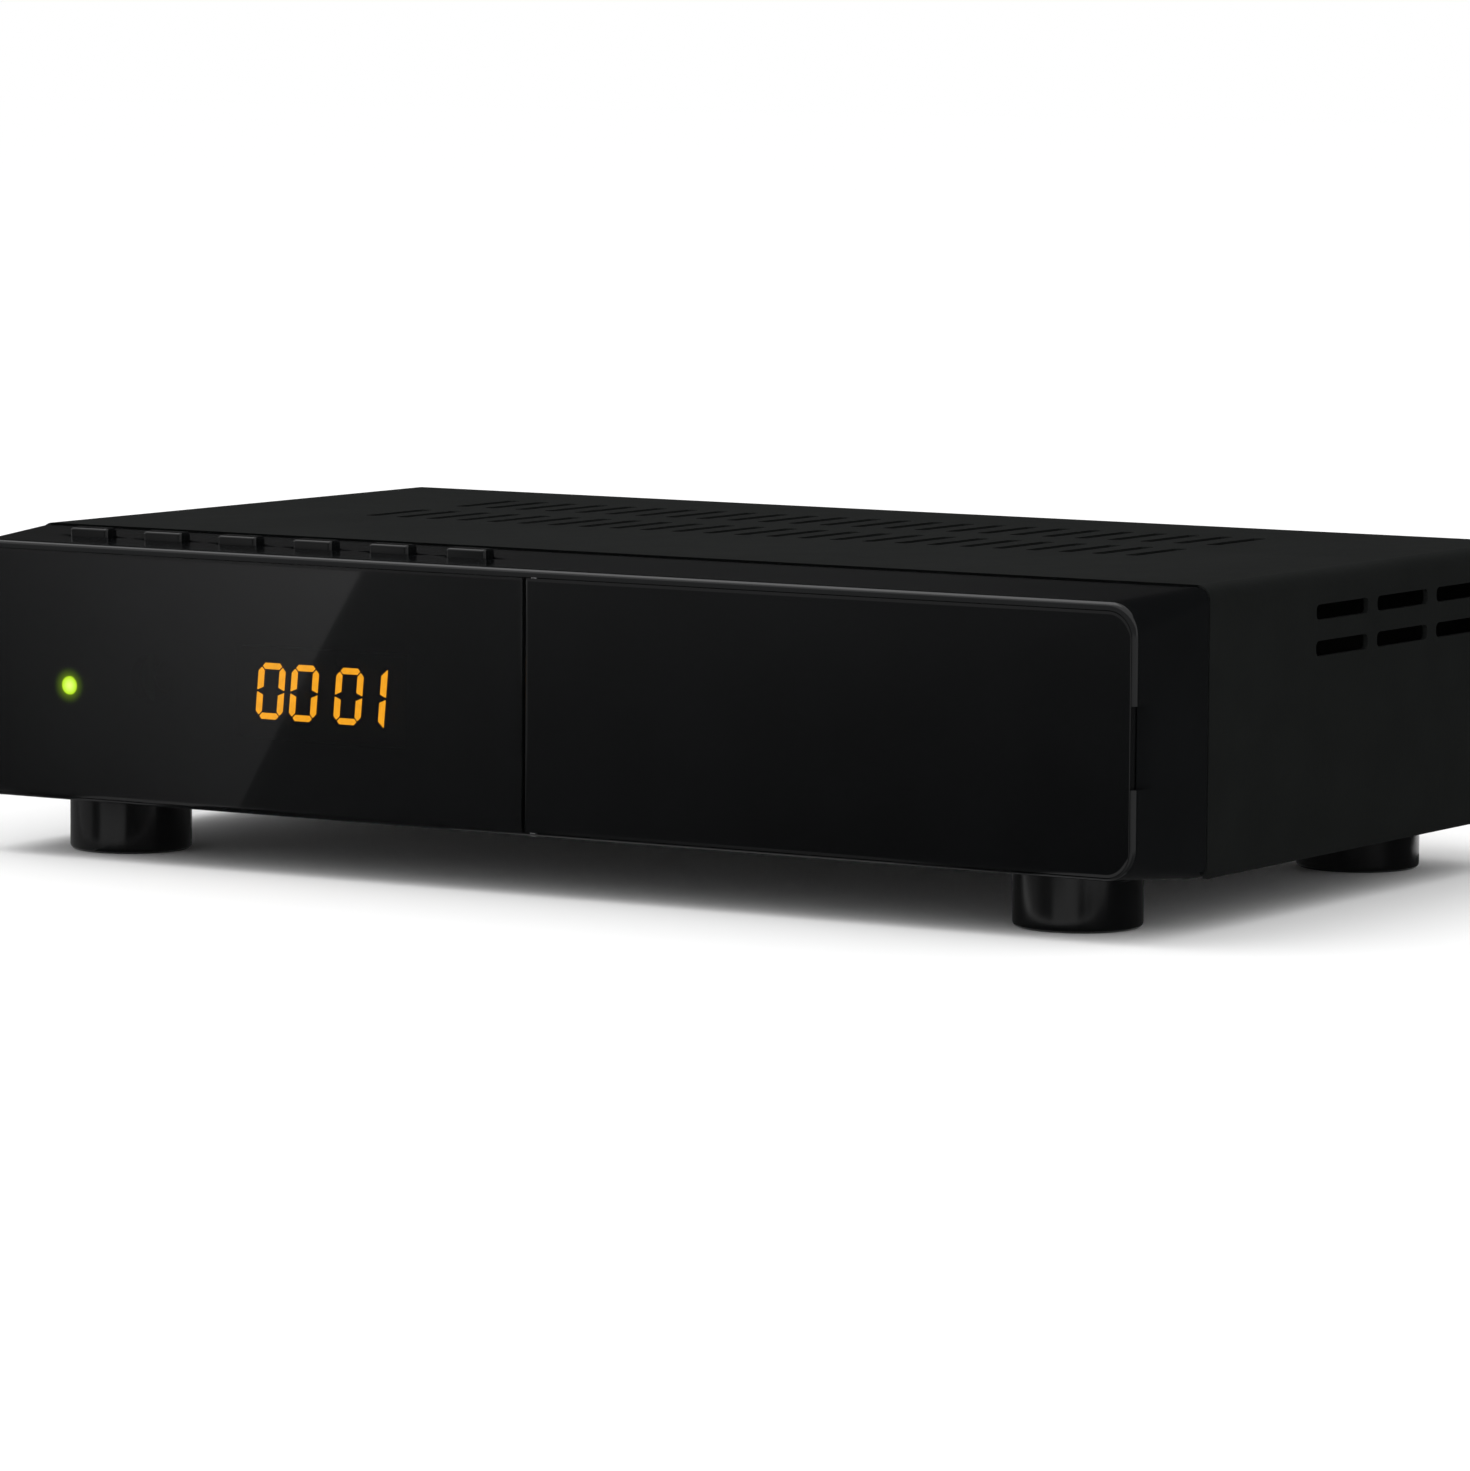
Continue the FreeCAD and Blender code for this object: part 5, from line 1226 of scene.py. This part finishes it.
@dataclass
class DisplayBars:
    """Lit bars of the display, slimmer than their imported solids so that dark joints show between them."""

    slim: float = 0.82
    short: float = 0.97
    tall: float = 0.955
    slant: float = 4.8

    def build(self) -> None:
        """Slim every bar about its own middle, upright, and publish them as one piece."""
        top = Extent.of("lit_segments").high.z
        lean = math.tan(math.radians(self.slant))
        form = bmesh.new()
        form.from_mesh(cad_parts["lit_segments"].data)
        bmesh.ops.scale(form, vec=(1 / MM, 1 / MM, 1 / MM), verts=form.verts[:])
        outward(form)
        for bar in self.islands(form):
            for spot in bar:
                spot.co.z = top + (spot.co.z - top) * self.tall
                spot.co.x += lean * (top - spot.co.z)
            low, high = (Vector([end(spot.co[axis] for spot in bar) for axis in (X, Y, Z)])
                         for end in (min, max))
            middle, size = (low + high) / 2, high - low
            share = (self.short, self.slim) if size.x > size.z else (self.slim, self.short)
            for spot in bar:
                spot.co.x = middle.x + (spot.co.x - middle.x) * share[0]
                spot.co.z = middle.z + (spot.co.z - middle.z) * share[1]
                spot.co.x -= lean * (top - spot.co.z)
        publish(form, "display_bars", AMBER, stands_for=["lit_segments"], crease=40.0)

    @staticmethod
    def islands(form: Form) -> list[list[Vert]]:
        """Group the vertices of each separate solid.

        Args:
            form: Mesh of several solids.

        Returns:
            One group for each solid.
        """
        left, found = set(form.verts), []
        while left:
            island, edge = [], [left.pop()]
            while edge:
                spot = edge.pop()
                island.append(spot)
                near = {link.other_vert(spot) for link in spot.link_edges} & left
                left -= near
                edge.extend(near)
            found.append(island)
        return found


@dataclass
class DeckKeys:
    """Six push keys in the deck, each with its hidden flange and stem."""

    cap: Span = (7.7, 3.0)
    corner: float = 0.7
    edge: float = 0.5
    flange: Point = (11.4, 5.0, 1.2)
    stem: Span = (3.4, 2.4)
    flange_below_top: float = 4.92

    def build(self) -> None:
        """Make every key on its own body."""
        for number in range(1, 7):
            self.build_key(number)

    def build_key(self, number: int) -> None:
        """Round the cap, then add the flange and the stem under it.

        Args:
            number: Number of the key, from the left.
        """
        box = Extent.of(f"button_{number}")
        top = box.high.z
        low = top - self.flange_below_top
        form, below = bmesh.new(), bmesh.new()
        cap, flange, stem = ([around(box.mid[axis], size[axis] / 2) for axis in (X, Y)]
                             for size in (self.cap, self.flange, self.stem))
        add_prism(form, Plane.XY, (low, top), *cap, self.corner, 5)
        outward(form)
        round_edges(form, edges_where(form, lambda a, b: min(a.z, b.z) > top - NEAR), self.edge, 5)
        add_box(below, *flange, (low, low + self.flange[2]))
        add_box(below, *stem, (box.low.z, low + self.flange[2] / 2))
        form = carve(form, below, Carve.JOIN)
        publish(form, f"key_cap_{number}", KEY_GLOSS, f"key_{number}", [f"button_{number}"],
                crease=35.0)


@dataclass
class Feet:
    """Four round moulded feet, each with a screw well in its underside."""

    edge: float = 0.9
    edge_steps: int = 5
    top_edge: float = 0.25
    well_radius: float = 4.2
    well_depth: float = 5.0
    well_edge: float = 0.4
    hole_radius: float = 1.45
    circle_steps: int = 96

    def build(self) -> None:
        """Spin each foot about its own axis."""
        for corner in ("front_left", "front_right", "rear_left", "rear_right"):
            box = Extent.of(f"foot_{corner}")
            form = add_spun(bmesh.new(), self.profile(box), box.mid, Plane.XY, self.circle_steps)
            publish(form, f"foot_pad_{corner}", FOOT_GLOSS, stands_for=[f"foot_{corner}"],
                    crease=40.0)

    def profile(self, box: Extent) -> list[Span]:
        """Half profile of a foot.

        Args:
            box: Extent of the foot.

        Returns:
            Its corners, each as distance from the axis and height.
        """
        radius, height = box.size.x / 2, box.high.z
        profile = [(self.hole_radius, height), (radius - self.top_edge, height),
                   (radius, height - self.top_edge), (radius, self.edge)]
        for step in range(1, self.edge_steps + 1):
            angle = math.radians(90 * step / self.edge_steps)
            profile.append((radius - self.edge * (1 - math.cos(angle)), self.edge * (1 - math.sin(angle))))
        return [*profile, (self.well_radius + self.well_edge, 0.0), (self.well_radius, self.well_edge),
                (self.well_radius, self.well_depth), (self.hole_radius, self.well_depth)]


@dataclass
class RearSockets:
    """Threaded aerial barrel, ringed audio barrel, and contacts of the network, video and power sockets."""

    thread_pitch: float = 0.794
    thread_depth: float = 0.42
    thread_radius: float = 4.7
    thread_steps: int = 24
    thread_spare: float = 1.1
    ridge_half: float = 0.47
    ridge_sink: float = 0.05
    collar_depth: float = 2.0
    nut_reach: float = 2.0
    barrel_edge: float = 0.3
    collar_edge: float = 0.35
    run_in: Span = (0.1, 0.6)
    wire_hole: float = 0.6
    ring_wall: float = 0.75
    ring_recess: float = 0.8
    audio_bore: float = 1.6
    audio_tube: float = 0.35
    audio_rim: Span = (0.25, 0.15)
    plug_edge: float = 0.2
    tube_sink: float = 0.3
    contact_count: int = 8
    contact_pitch: float = 1.02
    contact_half: float = 0.22
    contact_slope: float = 3.4
    contact_run: Span = (3.6, 2.2)
    contact_below: float = 2.0
    contact_thick: float = 0.3
    video_count: int = 19
    video_pitch: float = 0.6
    video_half: Span = (0.17, 0.05)
    video_run: Span = (5.0, 0.5)
    leaf_half: float = 0.6
    leaf_run: Span = (1.0, 2.5)
    leaf_lift: Span = (2.2, 2.4)

    def build(self) -> None:
        """Make every detailed socket."""
        self.build_aerial_barrel()
        self.build_audio_barrel()
        self.build_network_contacts()
        self.build_video_contacts()
        self.build_power_contact()

    def build_aerial_barrel(self) -> None:
        """Collar and barrel with a cut thread, hollow for its insulator."""
        box, bore = Extent.of("lnb_connector"), Extent.of("lnb_insulator")
        collar, root, hole = box.size.x / 2, self.thread_radius - self.thread_depth, bore.size.x / 2
        end, shoulder = box.high.y, box.low.y + self.collar_depth + self.nut_reach
        profile = [(hole, end), (root - self.barrel_edge, end), (root, end - self.barrel_edge),
                   (root, shoulder + self.run_in[1]), (root + self.run_in[0], shoulder),
                   (collar - self.collar_edge, shoulder),
                   (collar, shoulder - self.collar_edge), (collar, box.low.y), (self.wire_hole, box.low.y),
                   (self.wire_hole, bore.low.y), (hole, bore.low.y)]
        form = add_spun(bmesh.new(), profile, box.mid)
        turns = int((end - shoulder - self.thread_spare) / self.thread_pitch)
        self.add_thread(form, box.mid, root, shoulder + self.run_in[1], turns)
        publish(form, "aerial_barrel", NICKEL, stands_for=["lnb_connector"], crease=24.0)

    def add_thread(self, form: Form, middle: Vector, root: float, start: float, turns: int) -> None:
        """Wind one closed ridge around the barrel.

        Args:
            form: Barrel that the ridge goes on.
            middle: A point of the barrel's axis.
            root: Radius of the thread's root.
            start: Place along the axis where the ridge starts.
            turns: Number of turns.
        """
        half, foot = self.thread_pitch * self.ridge_half, root - self.ridge_sink
        place = [(foot, 0.0), (root + self.thread_depth, half), (foot, 2 * half)]
        spots = [form.verts.new((middle.x + reach, start + shift, middle.z)) for reach, shift in place]
        edges = [form.edges.new(pair) for pair in zip(spots, spots[1:] + spots[:1])]
        last = bmesh.ops.spin(form, geom=[*spots, *edges], cent=middle, axis=(0, 1, 0),
                              angle=2 * math.pi * turns, dvec=(0, self.thread_pitch / self.thread_steps, 0),
                              steps=self.thread_steps * turns)["geom_last"]
        form.faces.new(spots)
        form.faces.new(only(Vert, last))
        outward(form)

    def build_audio_barrel(self) -> None:
        """Gilt ring around a dark insulator, with the centre contact's hole."""
        box = Extent.of("audio_socket_barrel")
        low, end, outer = box.low.y, box.high.y, box.size.x / 2
        inner, face = outer - self.ring_wall, end - self.ring_recess
        bore, sleeve = self.audio_bore, self.audio_bore + self.audio_tube
        rim, lip = self.audio_rim
        ring = [(outer - rim, end), (outer, end - rim), (outer, low), (inner, low), (inner, end - lip),
                (inner + lip, end)]
        plug = [(inner, face), (inner, low), (sleeve, low), (sleeve, face - self.plug_edge),
                (sleeve + self.plug_edge, face)]
        tube = [(sleeve, face - self.tube_sink), (sleeve, low), (bore, low), (bore, face - self.tube_sink)]
        for name, profile, finish, slot in (("audio_ring", ring, GOLD, "audio_metal"),
                                            ("audio_insulator", plug, AMBER_PLASTIC, "socket_plastic"),
                                            ("audio_contact", tube, NICKEL, "audio_metal")):
            publish(add_spun(bmesh.new(), profile, box.mid), name, finish,
                    stands_for=["audio_socket_barrel"], crease=30.0)

    def build_network_contacts(self) -> None:
        """Eight sprung wires that slope down into the mouth."""
        box = Extent.of("ethernet_socket")
        form = bmesh.new()
        top = box.high.z - self.contact_below
        deep = (box.low.y + self.contact_run[0], box.high.y - self.contact_run[1])
        for number in range(self.contact_count):
            x = box.mid.x + (number - (self.contact_count - 1) / 2) * self.contact_pitch
            for spot in add_box(form, around(x, self.contact_half), deep, (top - self.contact_thick, top)):
                if spot.co.y < box.mid.y:
                    spot.co.z -= self.contact_slope
        outward(form)
        publish(form, "network_contacts", GOLD)

    def build_video_contacts(self) -> None:
        """Thin gilt strips on both faces of the flat tongue."""
        tongue = Extent.of("hdmi_tongue")
        deep = (tongue.high.y - self.video_run[0], tongue.high.y - self.video_run[1])
        form = bmesh.new()
        for number in range(self.video_count):
            x = tongue.mid.x + (number - (self.video_count - 1) / 2) * self.video_pitch
            for level in tongue.span(Z):
                add_box(form, around(x, self.video_half[0]), deep, around(level, self.video_half[1]))
        outward(form)
        publish(form, "video_contacts", GOLD)

    def build_power_contact(self) -> None:
        """Leaf spring at the side of the power socket's hole."""
        pin, jack = Extent.of("dc_jack_pin"), Extent.of("dc_jack")
        form = bmesh.new()
        add_box(form, around(pin.mid.x, self.leaf_half),
                (pin.low.y + self.leaf_run[0], jack.high.y - self.leaf_run[1]),
                (pin.mid.z + self.leaf_lift[0], pin.mid.z + self.leaf_lift[1]))
        outward(form)
        publish(form, "power_leaf", NICKEL)


@dataclass
class CoverScrews:
    """Pan head screws of the cover, each with a cross recess."""

    head_radius: float = 2.8
    head_tall: float = 1.9
    # Share of the head's radius, and how far it lies below the top there.
    dome: tuple[Span, ...] = ((0.45, 0.03), (0.78, 0.22), (0.95, 0.62), (1.0, 1.1))
    shank_radius: float = 1.45
    recess: Span = (1.6, 0.38)
    recess_deep: float = 1.1
    recess_taper: float = 0.55
    circle_steps: int = 40
    places: tuple[Span, ...] = ((-80.0, 47.6), (0.0, 47.6), (80.0, 47.6), (-104.5, 15.0), (104.5, 15.0))

    def build(self) -> None:
        """Spin and cut every screw and publish them as one piece."""
        box = Extent.of("cover_screws")
        end, seat = box.high.y, box.high.y - self.head_tall
        dome = [(self.head_radius * share, end - drop) for share, drop in self.dome]
        profile = [(NEAR, end), *dome, (self.head_radius, seat), (self.shank_radius, seat),
                   (self.shank_radius, box.low.y), (NEAR, box.low.y)]
        whole, cross = bmesh.new(), bmesh.new()
        taper = (self.recess_taper, 1, self.recess_taper)
        for x, z in self.places:
            add_spun(whole, profile, (x, 0, z), steps=self.circle_steps)
            for wide, tall in (self.recess, self.recess[::-1]):
                spots = add_box(cross, around(x, wide), (end - self.recess_deep, end + PAST), around(z, tall))
                deep = [spot for spot in spots if spot.co.y < end]
                bmesh.ops.scale(cross, vec=taper, verts=deep, space=Matrix.Translation((-x, 0, -z)))
        publish(carve(whole, cross, Carve.CUT), "cover_screw_heads", BLACK_OXIDE,
                stands_for=["cover_screws"], crease=35.0)


# ---- stage ----

# Cards that only the glossy faces mirror. Each card is rows of spots: X and Y in metres and a tone,
# where 1 is white, blended between the spots. All lie flat, at these heights or between them.
FLOOR_LEVEL, UPPER_LEVEL = 0.0004, 0.0006
SIDE_TONE, REAR_TONE, EDGE_TONE = 0.035, 0.028, 0.62
FLOOR_CARDS: dict[str, Sequence[Sequence[Point]]] = {
    # The grey left part of the window.
    "card_left": (
        ((-1.9, -0.1365, 0.09), (-0.1612, -0.1365, 0.09), (-0.1021, -0.1365, 0.24)),
        ((-1.95, -0.15, 0.09), (-0.172, -0.15, 0.09), (-0.1107, -0.15, 0.24)),
        ((-2.2, -0.58, 0.22), (-0.505, -0.58, 0.22), (-0.3849, -0.58, 0.60)),
        ((-3.2, -1.9, 0.22), (-1.527, -1.9, 0.22), (-1.2265, -1.9, 0.60))),
    # The dark right part, which shares its left edge with that card.
    "card_front": (
        ((-0.1021, -0.1365, 0.085), (0.0691, -0.1365, 0.03), (0.106, -0.1365, 0.03)),
        ((-0.1107, -0.15, 0.085), (0.062, -0.15, 0.03), (0.105, -0.15, 0.03)),
        ((-0.3849, -0.58, 0.19), (-0.173, -0.58, 0.11), (0.068, -0.58, 0.11)),
        ((-1.2265, -1.9, 0.19), (-0.894, -1.9, 0.11), (-0.05, -1.9, 0.11))),
    # The light edges that lean to the right.
    "card_edge": (
        ((0.112, -0.0715, EDGE_TONE), (-0.05, -1.9, EDGE_TONE)),
        ((0.113, -0.0705, EDGE_TONE), (2.2, -1.9, EDGE_TONE)),
        ((0.114, -0.0695, EDGE_TONE), (2.2, -0.05, EDGE_TONE))),
    # The left side of the left foot.
    "card_beyond": (((-1.9, 0.6, 0.15), (-0.13, 0.6, 0.15)),
                    ((-1.9, -0.0715, 0.15), (-0.0894, -0.0715, 0.15))),
    # The right side of the left foot.
    "card_under": (((-0.0894, -0.0715, SIDE_TONE), (0.112, -0.0715, SIDE_TONE)),
                   ((-0.0894, 0.06, SIDE_TONE), (0.112, 0.06, SIDE_TONE))),
    # The right side of the case.
    "card_right": (((0.112, -0.0715, SIDE_TONE), (2.2, -0.05, SIDE_TONE)),
                   ((0.112, 2.2, SIDE_TONE), (2.2, 2.2, SIDE_TONE))),
}
UPPER_CARDS: dict[str, Sequence[Sequence[Point]]] = {
    # The right side of the right foot.
    "card_beside": (((0.1067, -0.0715, 0.06), (0.1144, -0.0715, 0.25), (0.1478, -0.0715, 0.25)),
                    ((0.1342, -0.10, 0.06), (0.1565, -0.10, 0.25), (0.20, -0.10, 0.25))),
    # The light line along the bottom edge.
    "card_lip": (((-0.02, -0.0715, 1.0), (0.06, -0.0715, 1.0), (0.112, -0.0715, 0.6)),
                 ((-0.02, -0.067, 0.6), (0.06, -0.067, 0.6), (0.112, -0.067, 0.36))),
}
# Bands that the front feet mirror: X at the front and ahead of it, and the tone at both places.
FOOT_BANDS: tuple[tuple[float, float, float, float], ...] = (
    (-1.9, -1.9, 0.28, 0.28), (-0.1004, -0.1667, 0.28, 0.28), (-0.098, -0.1517, 0.06, 0.06),
    (-0.0941, -0.1281, 0.06, 0.06), (-0.0923, -0.1182, 0.50, 0.50), (-0.0807, -0.0548, 0.50, 0.50),
    (-0.0787, -0.0446, 0.03, 0.03), (-0.03, -0.040, 0.30, 0.03), (0.0, -0.037, 0.90, 0.05),
    (0.06, -0.034, 0.90, 0.18), (0.0717, -0.0307, 0.20, 0.20), (0.0775, 0.0064, 0.20, 0.20),
    (0.08, 0.0224, 0.07, 0.07), (0.0869, 0.0636, 0.07, 0.07), (0.0888, 0.0741, 0.50, 0.50),
    (0.0988, 0.1273, 0.50, 0.50), (0.1015, 0.1415, 0.06, 0.06), (0.1067, 0.16, 0.06, 0.06))
# Standing cards: their height, and their course from left to right as X, Y and tone.
WALLS: dict[str, tuple[float, Sequence[Point]]] = {
    "card_ahead": (1.0, ((-3.2, -1.9, 0.33), (2.2, -1.9, 0.33))),
    "card_rear": (1.9, ((-1.73, 0.33, REAR_TONE), (-0.60, 1.062, REAR_TONE), (-0.51, 1.12, 0.016),
                        (0.0, 1.45, 0.018), (1.4, 0.7, SIDE_TONE), (1.75, -0.3, SIDE_TONE))),
}


def staged(form: Form, name: str) -> bpy.types.Object:
    """Turn a mesh in metres into a stage object.

    Args:
        form: Mesh in metres; it is used up.
        name: Name of the object.

    Returns:
        The object.
    """
    mesh = bpy.data.meshes.new(name)
    form.to_mesh(mesh)
    form.free()
    item = bpy.data.objects.new(name, mesh)
    bpy.context.scene.collection.objects.link(item)
    return item


def toned_card(name: str, rows: Sequence[Sequence[tuple[Point, float]]]) -> None:
    """Set up a studio card that only shows in reflections, with its tones blended between its corners.

    Args:
        name: Name of the card.
        rows: Rows of spots in metres, each with its tone.
    """
    form = bmesh.new()
    tone = form.verts.layers.float_color.new("tone")
    lines = []
    for row in rows:
        lines.append([form.verts.new(spot) for spot, _ in row])
        for spot, (_, brightness) in zip(lines[-1], row):
            spot[tone] = (brightness, brightness, brightness, 1.0)
    for near, far in zip(lines, lines[1:]):
        for left in range(len(near) - 1):
            form.faces.new((near[left], near[left + 1], far[left + 1], far[left]))
    card = staged(form, name)
    shader = Shader(name)
    shader.fix(Base_Color=(0.0, 0.0, 0.0, 1.0), Specular_IOR_Level=0.0, Roughness=1.0, Emission_Strength=1.0)
    shader.feed("Emission Color", shader.add("VertexColor", layer_name="tone").outputs["Color"])
    card.data.materials.append(shader.material)
    for rays in ("camera", "diffuse", "shadow", "transmission"):
        setattr(card, f"visible_{rays}", False)


@dataclass
class Studio:
    """Pale floor, white surround, one soft lamp, toned cards and the camera."""

    floor_size: float = 12.0
    floor_lift: float = 0.001
    lamp_place: Point = (-0.5, -0.35, 1.35)
    lamp_aim: Point = (0.0, 0.0, 0.03)
    lamp_size: float = 1.1
    lamp_power: float = 6.0
    feet_card_start: float = -0.0715
    feet_card_long: float = 0.064
    feet_card_rows: tuple[float, ...] = (0.0, 0.11, 1.0)
    camera_place: Point = (0.63345, -1.02722, 0.14242)
    yaw: float = 31.847
    pitch: float = 5.815
    roll: float = 0.358
    focal: float = 180.62
    sensor: float = 36.0
    clip: Span = (0.01, 50.0)

    def build(self) -> None:
        """Set the stage."""
        self.set_world()
        self.lay_floor()
        self.hang_lamp()
        self.set_cards()
        self.set_camera()
        bpy.context.scene.view_settings.view_transform = "Standard"

    def set_world(self) -> None:
        """White surround of even strength."""
        world = bpy.data.worlds.new("surround")
        bpy.context.scene.world = world
        world.use_nodes = True
        background = world.node_tree.nodes["Background"]
        background.inputs["Color"].default_value = (1.0, 1.0, 1.0, 1.0)
        background.inputs["Strength"].default_value = 1.0

    def lay_floor(self) -> None:
        """A white floor that keeps the shadow of the object."""
        form = bmesh.new()
        bmesh.ops.create_grid(form, x_segments=1, y_segments=1, size=self.floor_size / 2)
        floor = staged(form, "floor")
        shader = Shader("pale_floor")
        shader.fix(Base_Color=(1.0, 1.0, 1.0, 1.0), Roughness=1.0, Specular_IOR_Level=0.0,
                   Emission_Color=(1.0, 1.0, 1.0, 1.0), Emission_Strength=self.floor_lift)
        floor.data.materials.append(shader.material)

    def hang_lamp(self) -> None:
        """One large soft lamp overhead, a little to the left and in front."""
        light = bpy.data.lights.new("lamp_overhead", "AREA")
        light.shape = "SQUARE"
        light.size = self.lamp_size
        light.energy = self.lamp_power
        lamp = bpy.data.objects.new("lamp_overhead", light)
        bpy.context.scene.collection.objects.link(lamp)
        aim = Vector(self.lamp_aim) - Vector(self.lamp_place)
        turn = aim.to_track_quat("-Z", "Y").to_matrix().to_4x4()
        lamp.matrix_world = Matrix.Translation(self.lamp_place) @ turn
        lamp.visible_camera = False

    def set_cards(self) -> None:
        """Toned cards on the floor and behind, which the glossy faces mirror."""
        feet = [[(near + (far - near) * share, self.feet_card_start - self.feet_card_long * share,
                  tones[row > 0]) for near, far, *tones in FOOT_BANDS]
                for row, share in enumerate(self.feet_card_rows)]
        for level, cards in ((FLOOR_LEVEL, FLOOR_CARDS), (UPPER_LEVEL, {**UPPER_CARDS, "card_feet": feet})):
            for name, rows in cards.items():
                toned_card(name, [[((x, y, level), tone) for x, y, tone in row] for row in rows])
        for name, (height, course) in WALLS.items():
            toned_card(name, [[((x, y, z), tone) for x, y, tone in course] for z in (0.0, height)])

    def set_camera(self) -> None:
        """Camera at the viewing angle of a long lens, front right and a little above."""
        yaw, pitch, roll = (math.radians(turn) for turn in (self.yaw, self.pitch, self.roll))
        ahead = Vector((-math.sin(yaw) * math.cos(pitch), math.cos(yaw) * math.cos(pitch), -math.sin(pitch)))
        right = Vector((math.cos(yaw), math.sin(yaw), 0.0))
        up = right.cross(ahead)
        right, up = (right * math.cos(roll) + up * math.sin(roll),
                     up * math.cos(roll) - right * math.sin(roll))
        turn = Matrix((right, up, -ahead)).transposed().to_4x4()
        lens = bpy.data.cameras.new("camera")
        lens.sensor_width = self.sensor
        lens.lens = self.focal
        lens.clip_start, lens.clip_end = self.clip
        camera = bpy.data.objects.new("camera", lens)
        camera.matrix_world = Matrix.Translation(self.camera_place) @ turn
        bpy.context.scene.collection.objects.link(camera)
        bpy.context.scene.camera = camera


def dress_nodes() -> None:
    """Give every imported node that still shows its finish."""
    for finish, nodes in NODE_FINISHES:
        for node in nodes.split():
            dress_node(node, finish)
    guide = Extent.of("led_light_guide")
    glow = StatusGlow("lit_green", (0.46, 0.72, 0.012), roughness=0.3, centre_x=guide.mid.x,
                      centre_z=guide.mid.z, tip_y=guide.low.y + LIT_TIP)
    dress_node("led_light_guide", glow)


def main() -> None:
    """Build every sub-assembly and the stage, in order."""
    logging.basicConfig(level=logging.INFO, format="%(message)s")
    for assembly in (TopCover(), FrontBezel(), FrontPanels(), DisplayBars(), DeckKeys(), Feet(),
                     RearSockets(), CoverScrews()):
        assembly.build()
    dress_nodes()
    Studio().build()


if __name__ == "__main__":
    main()
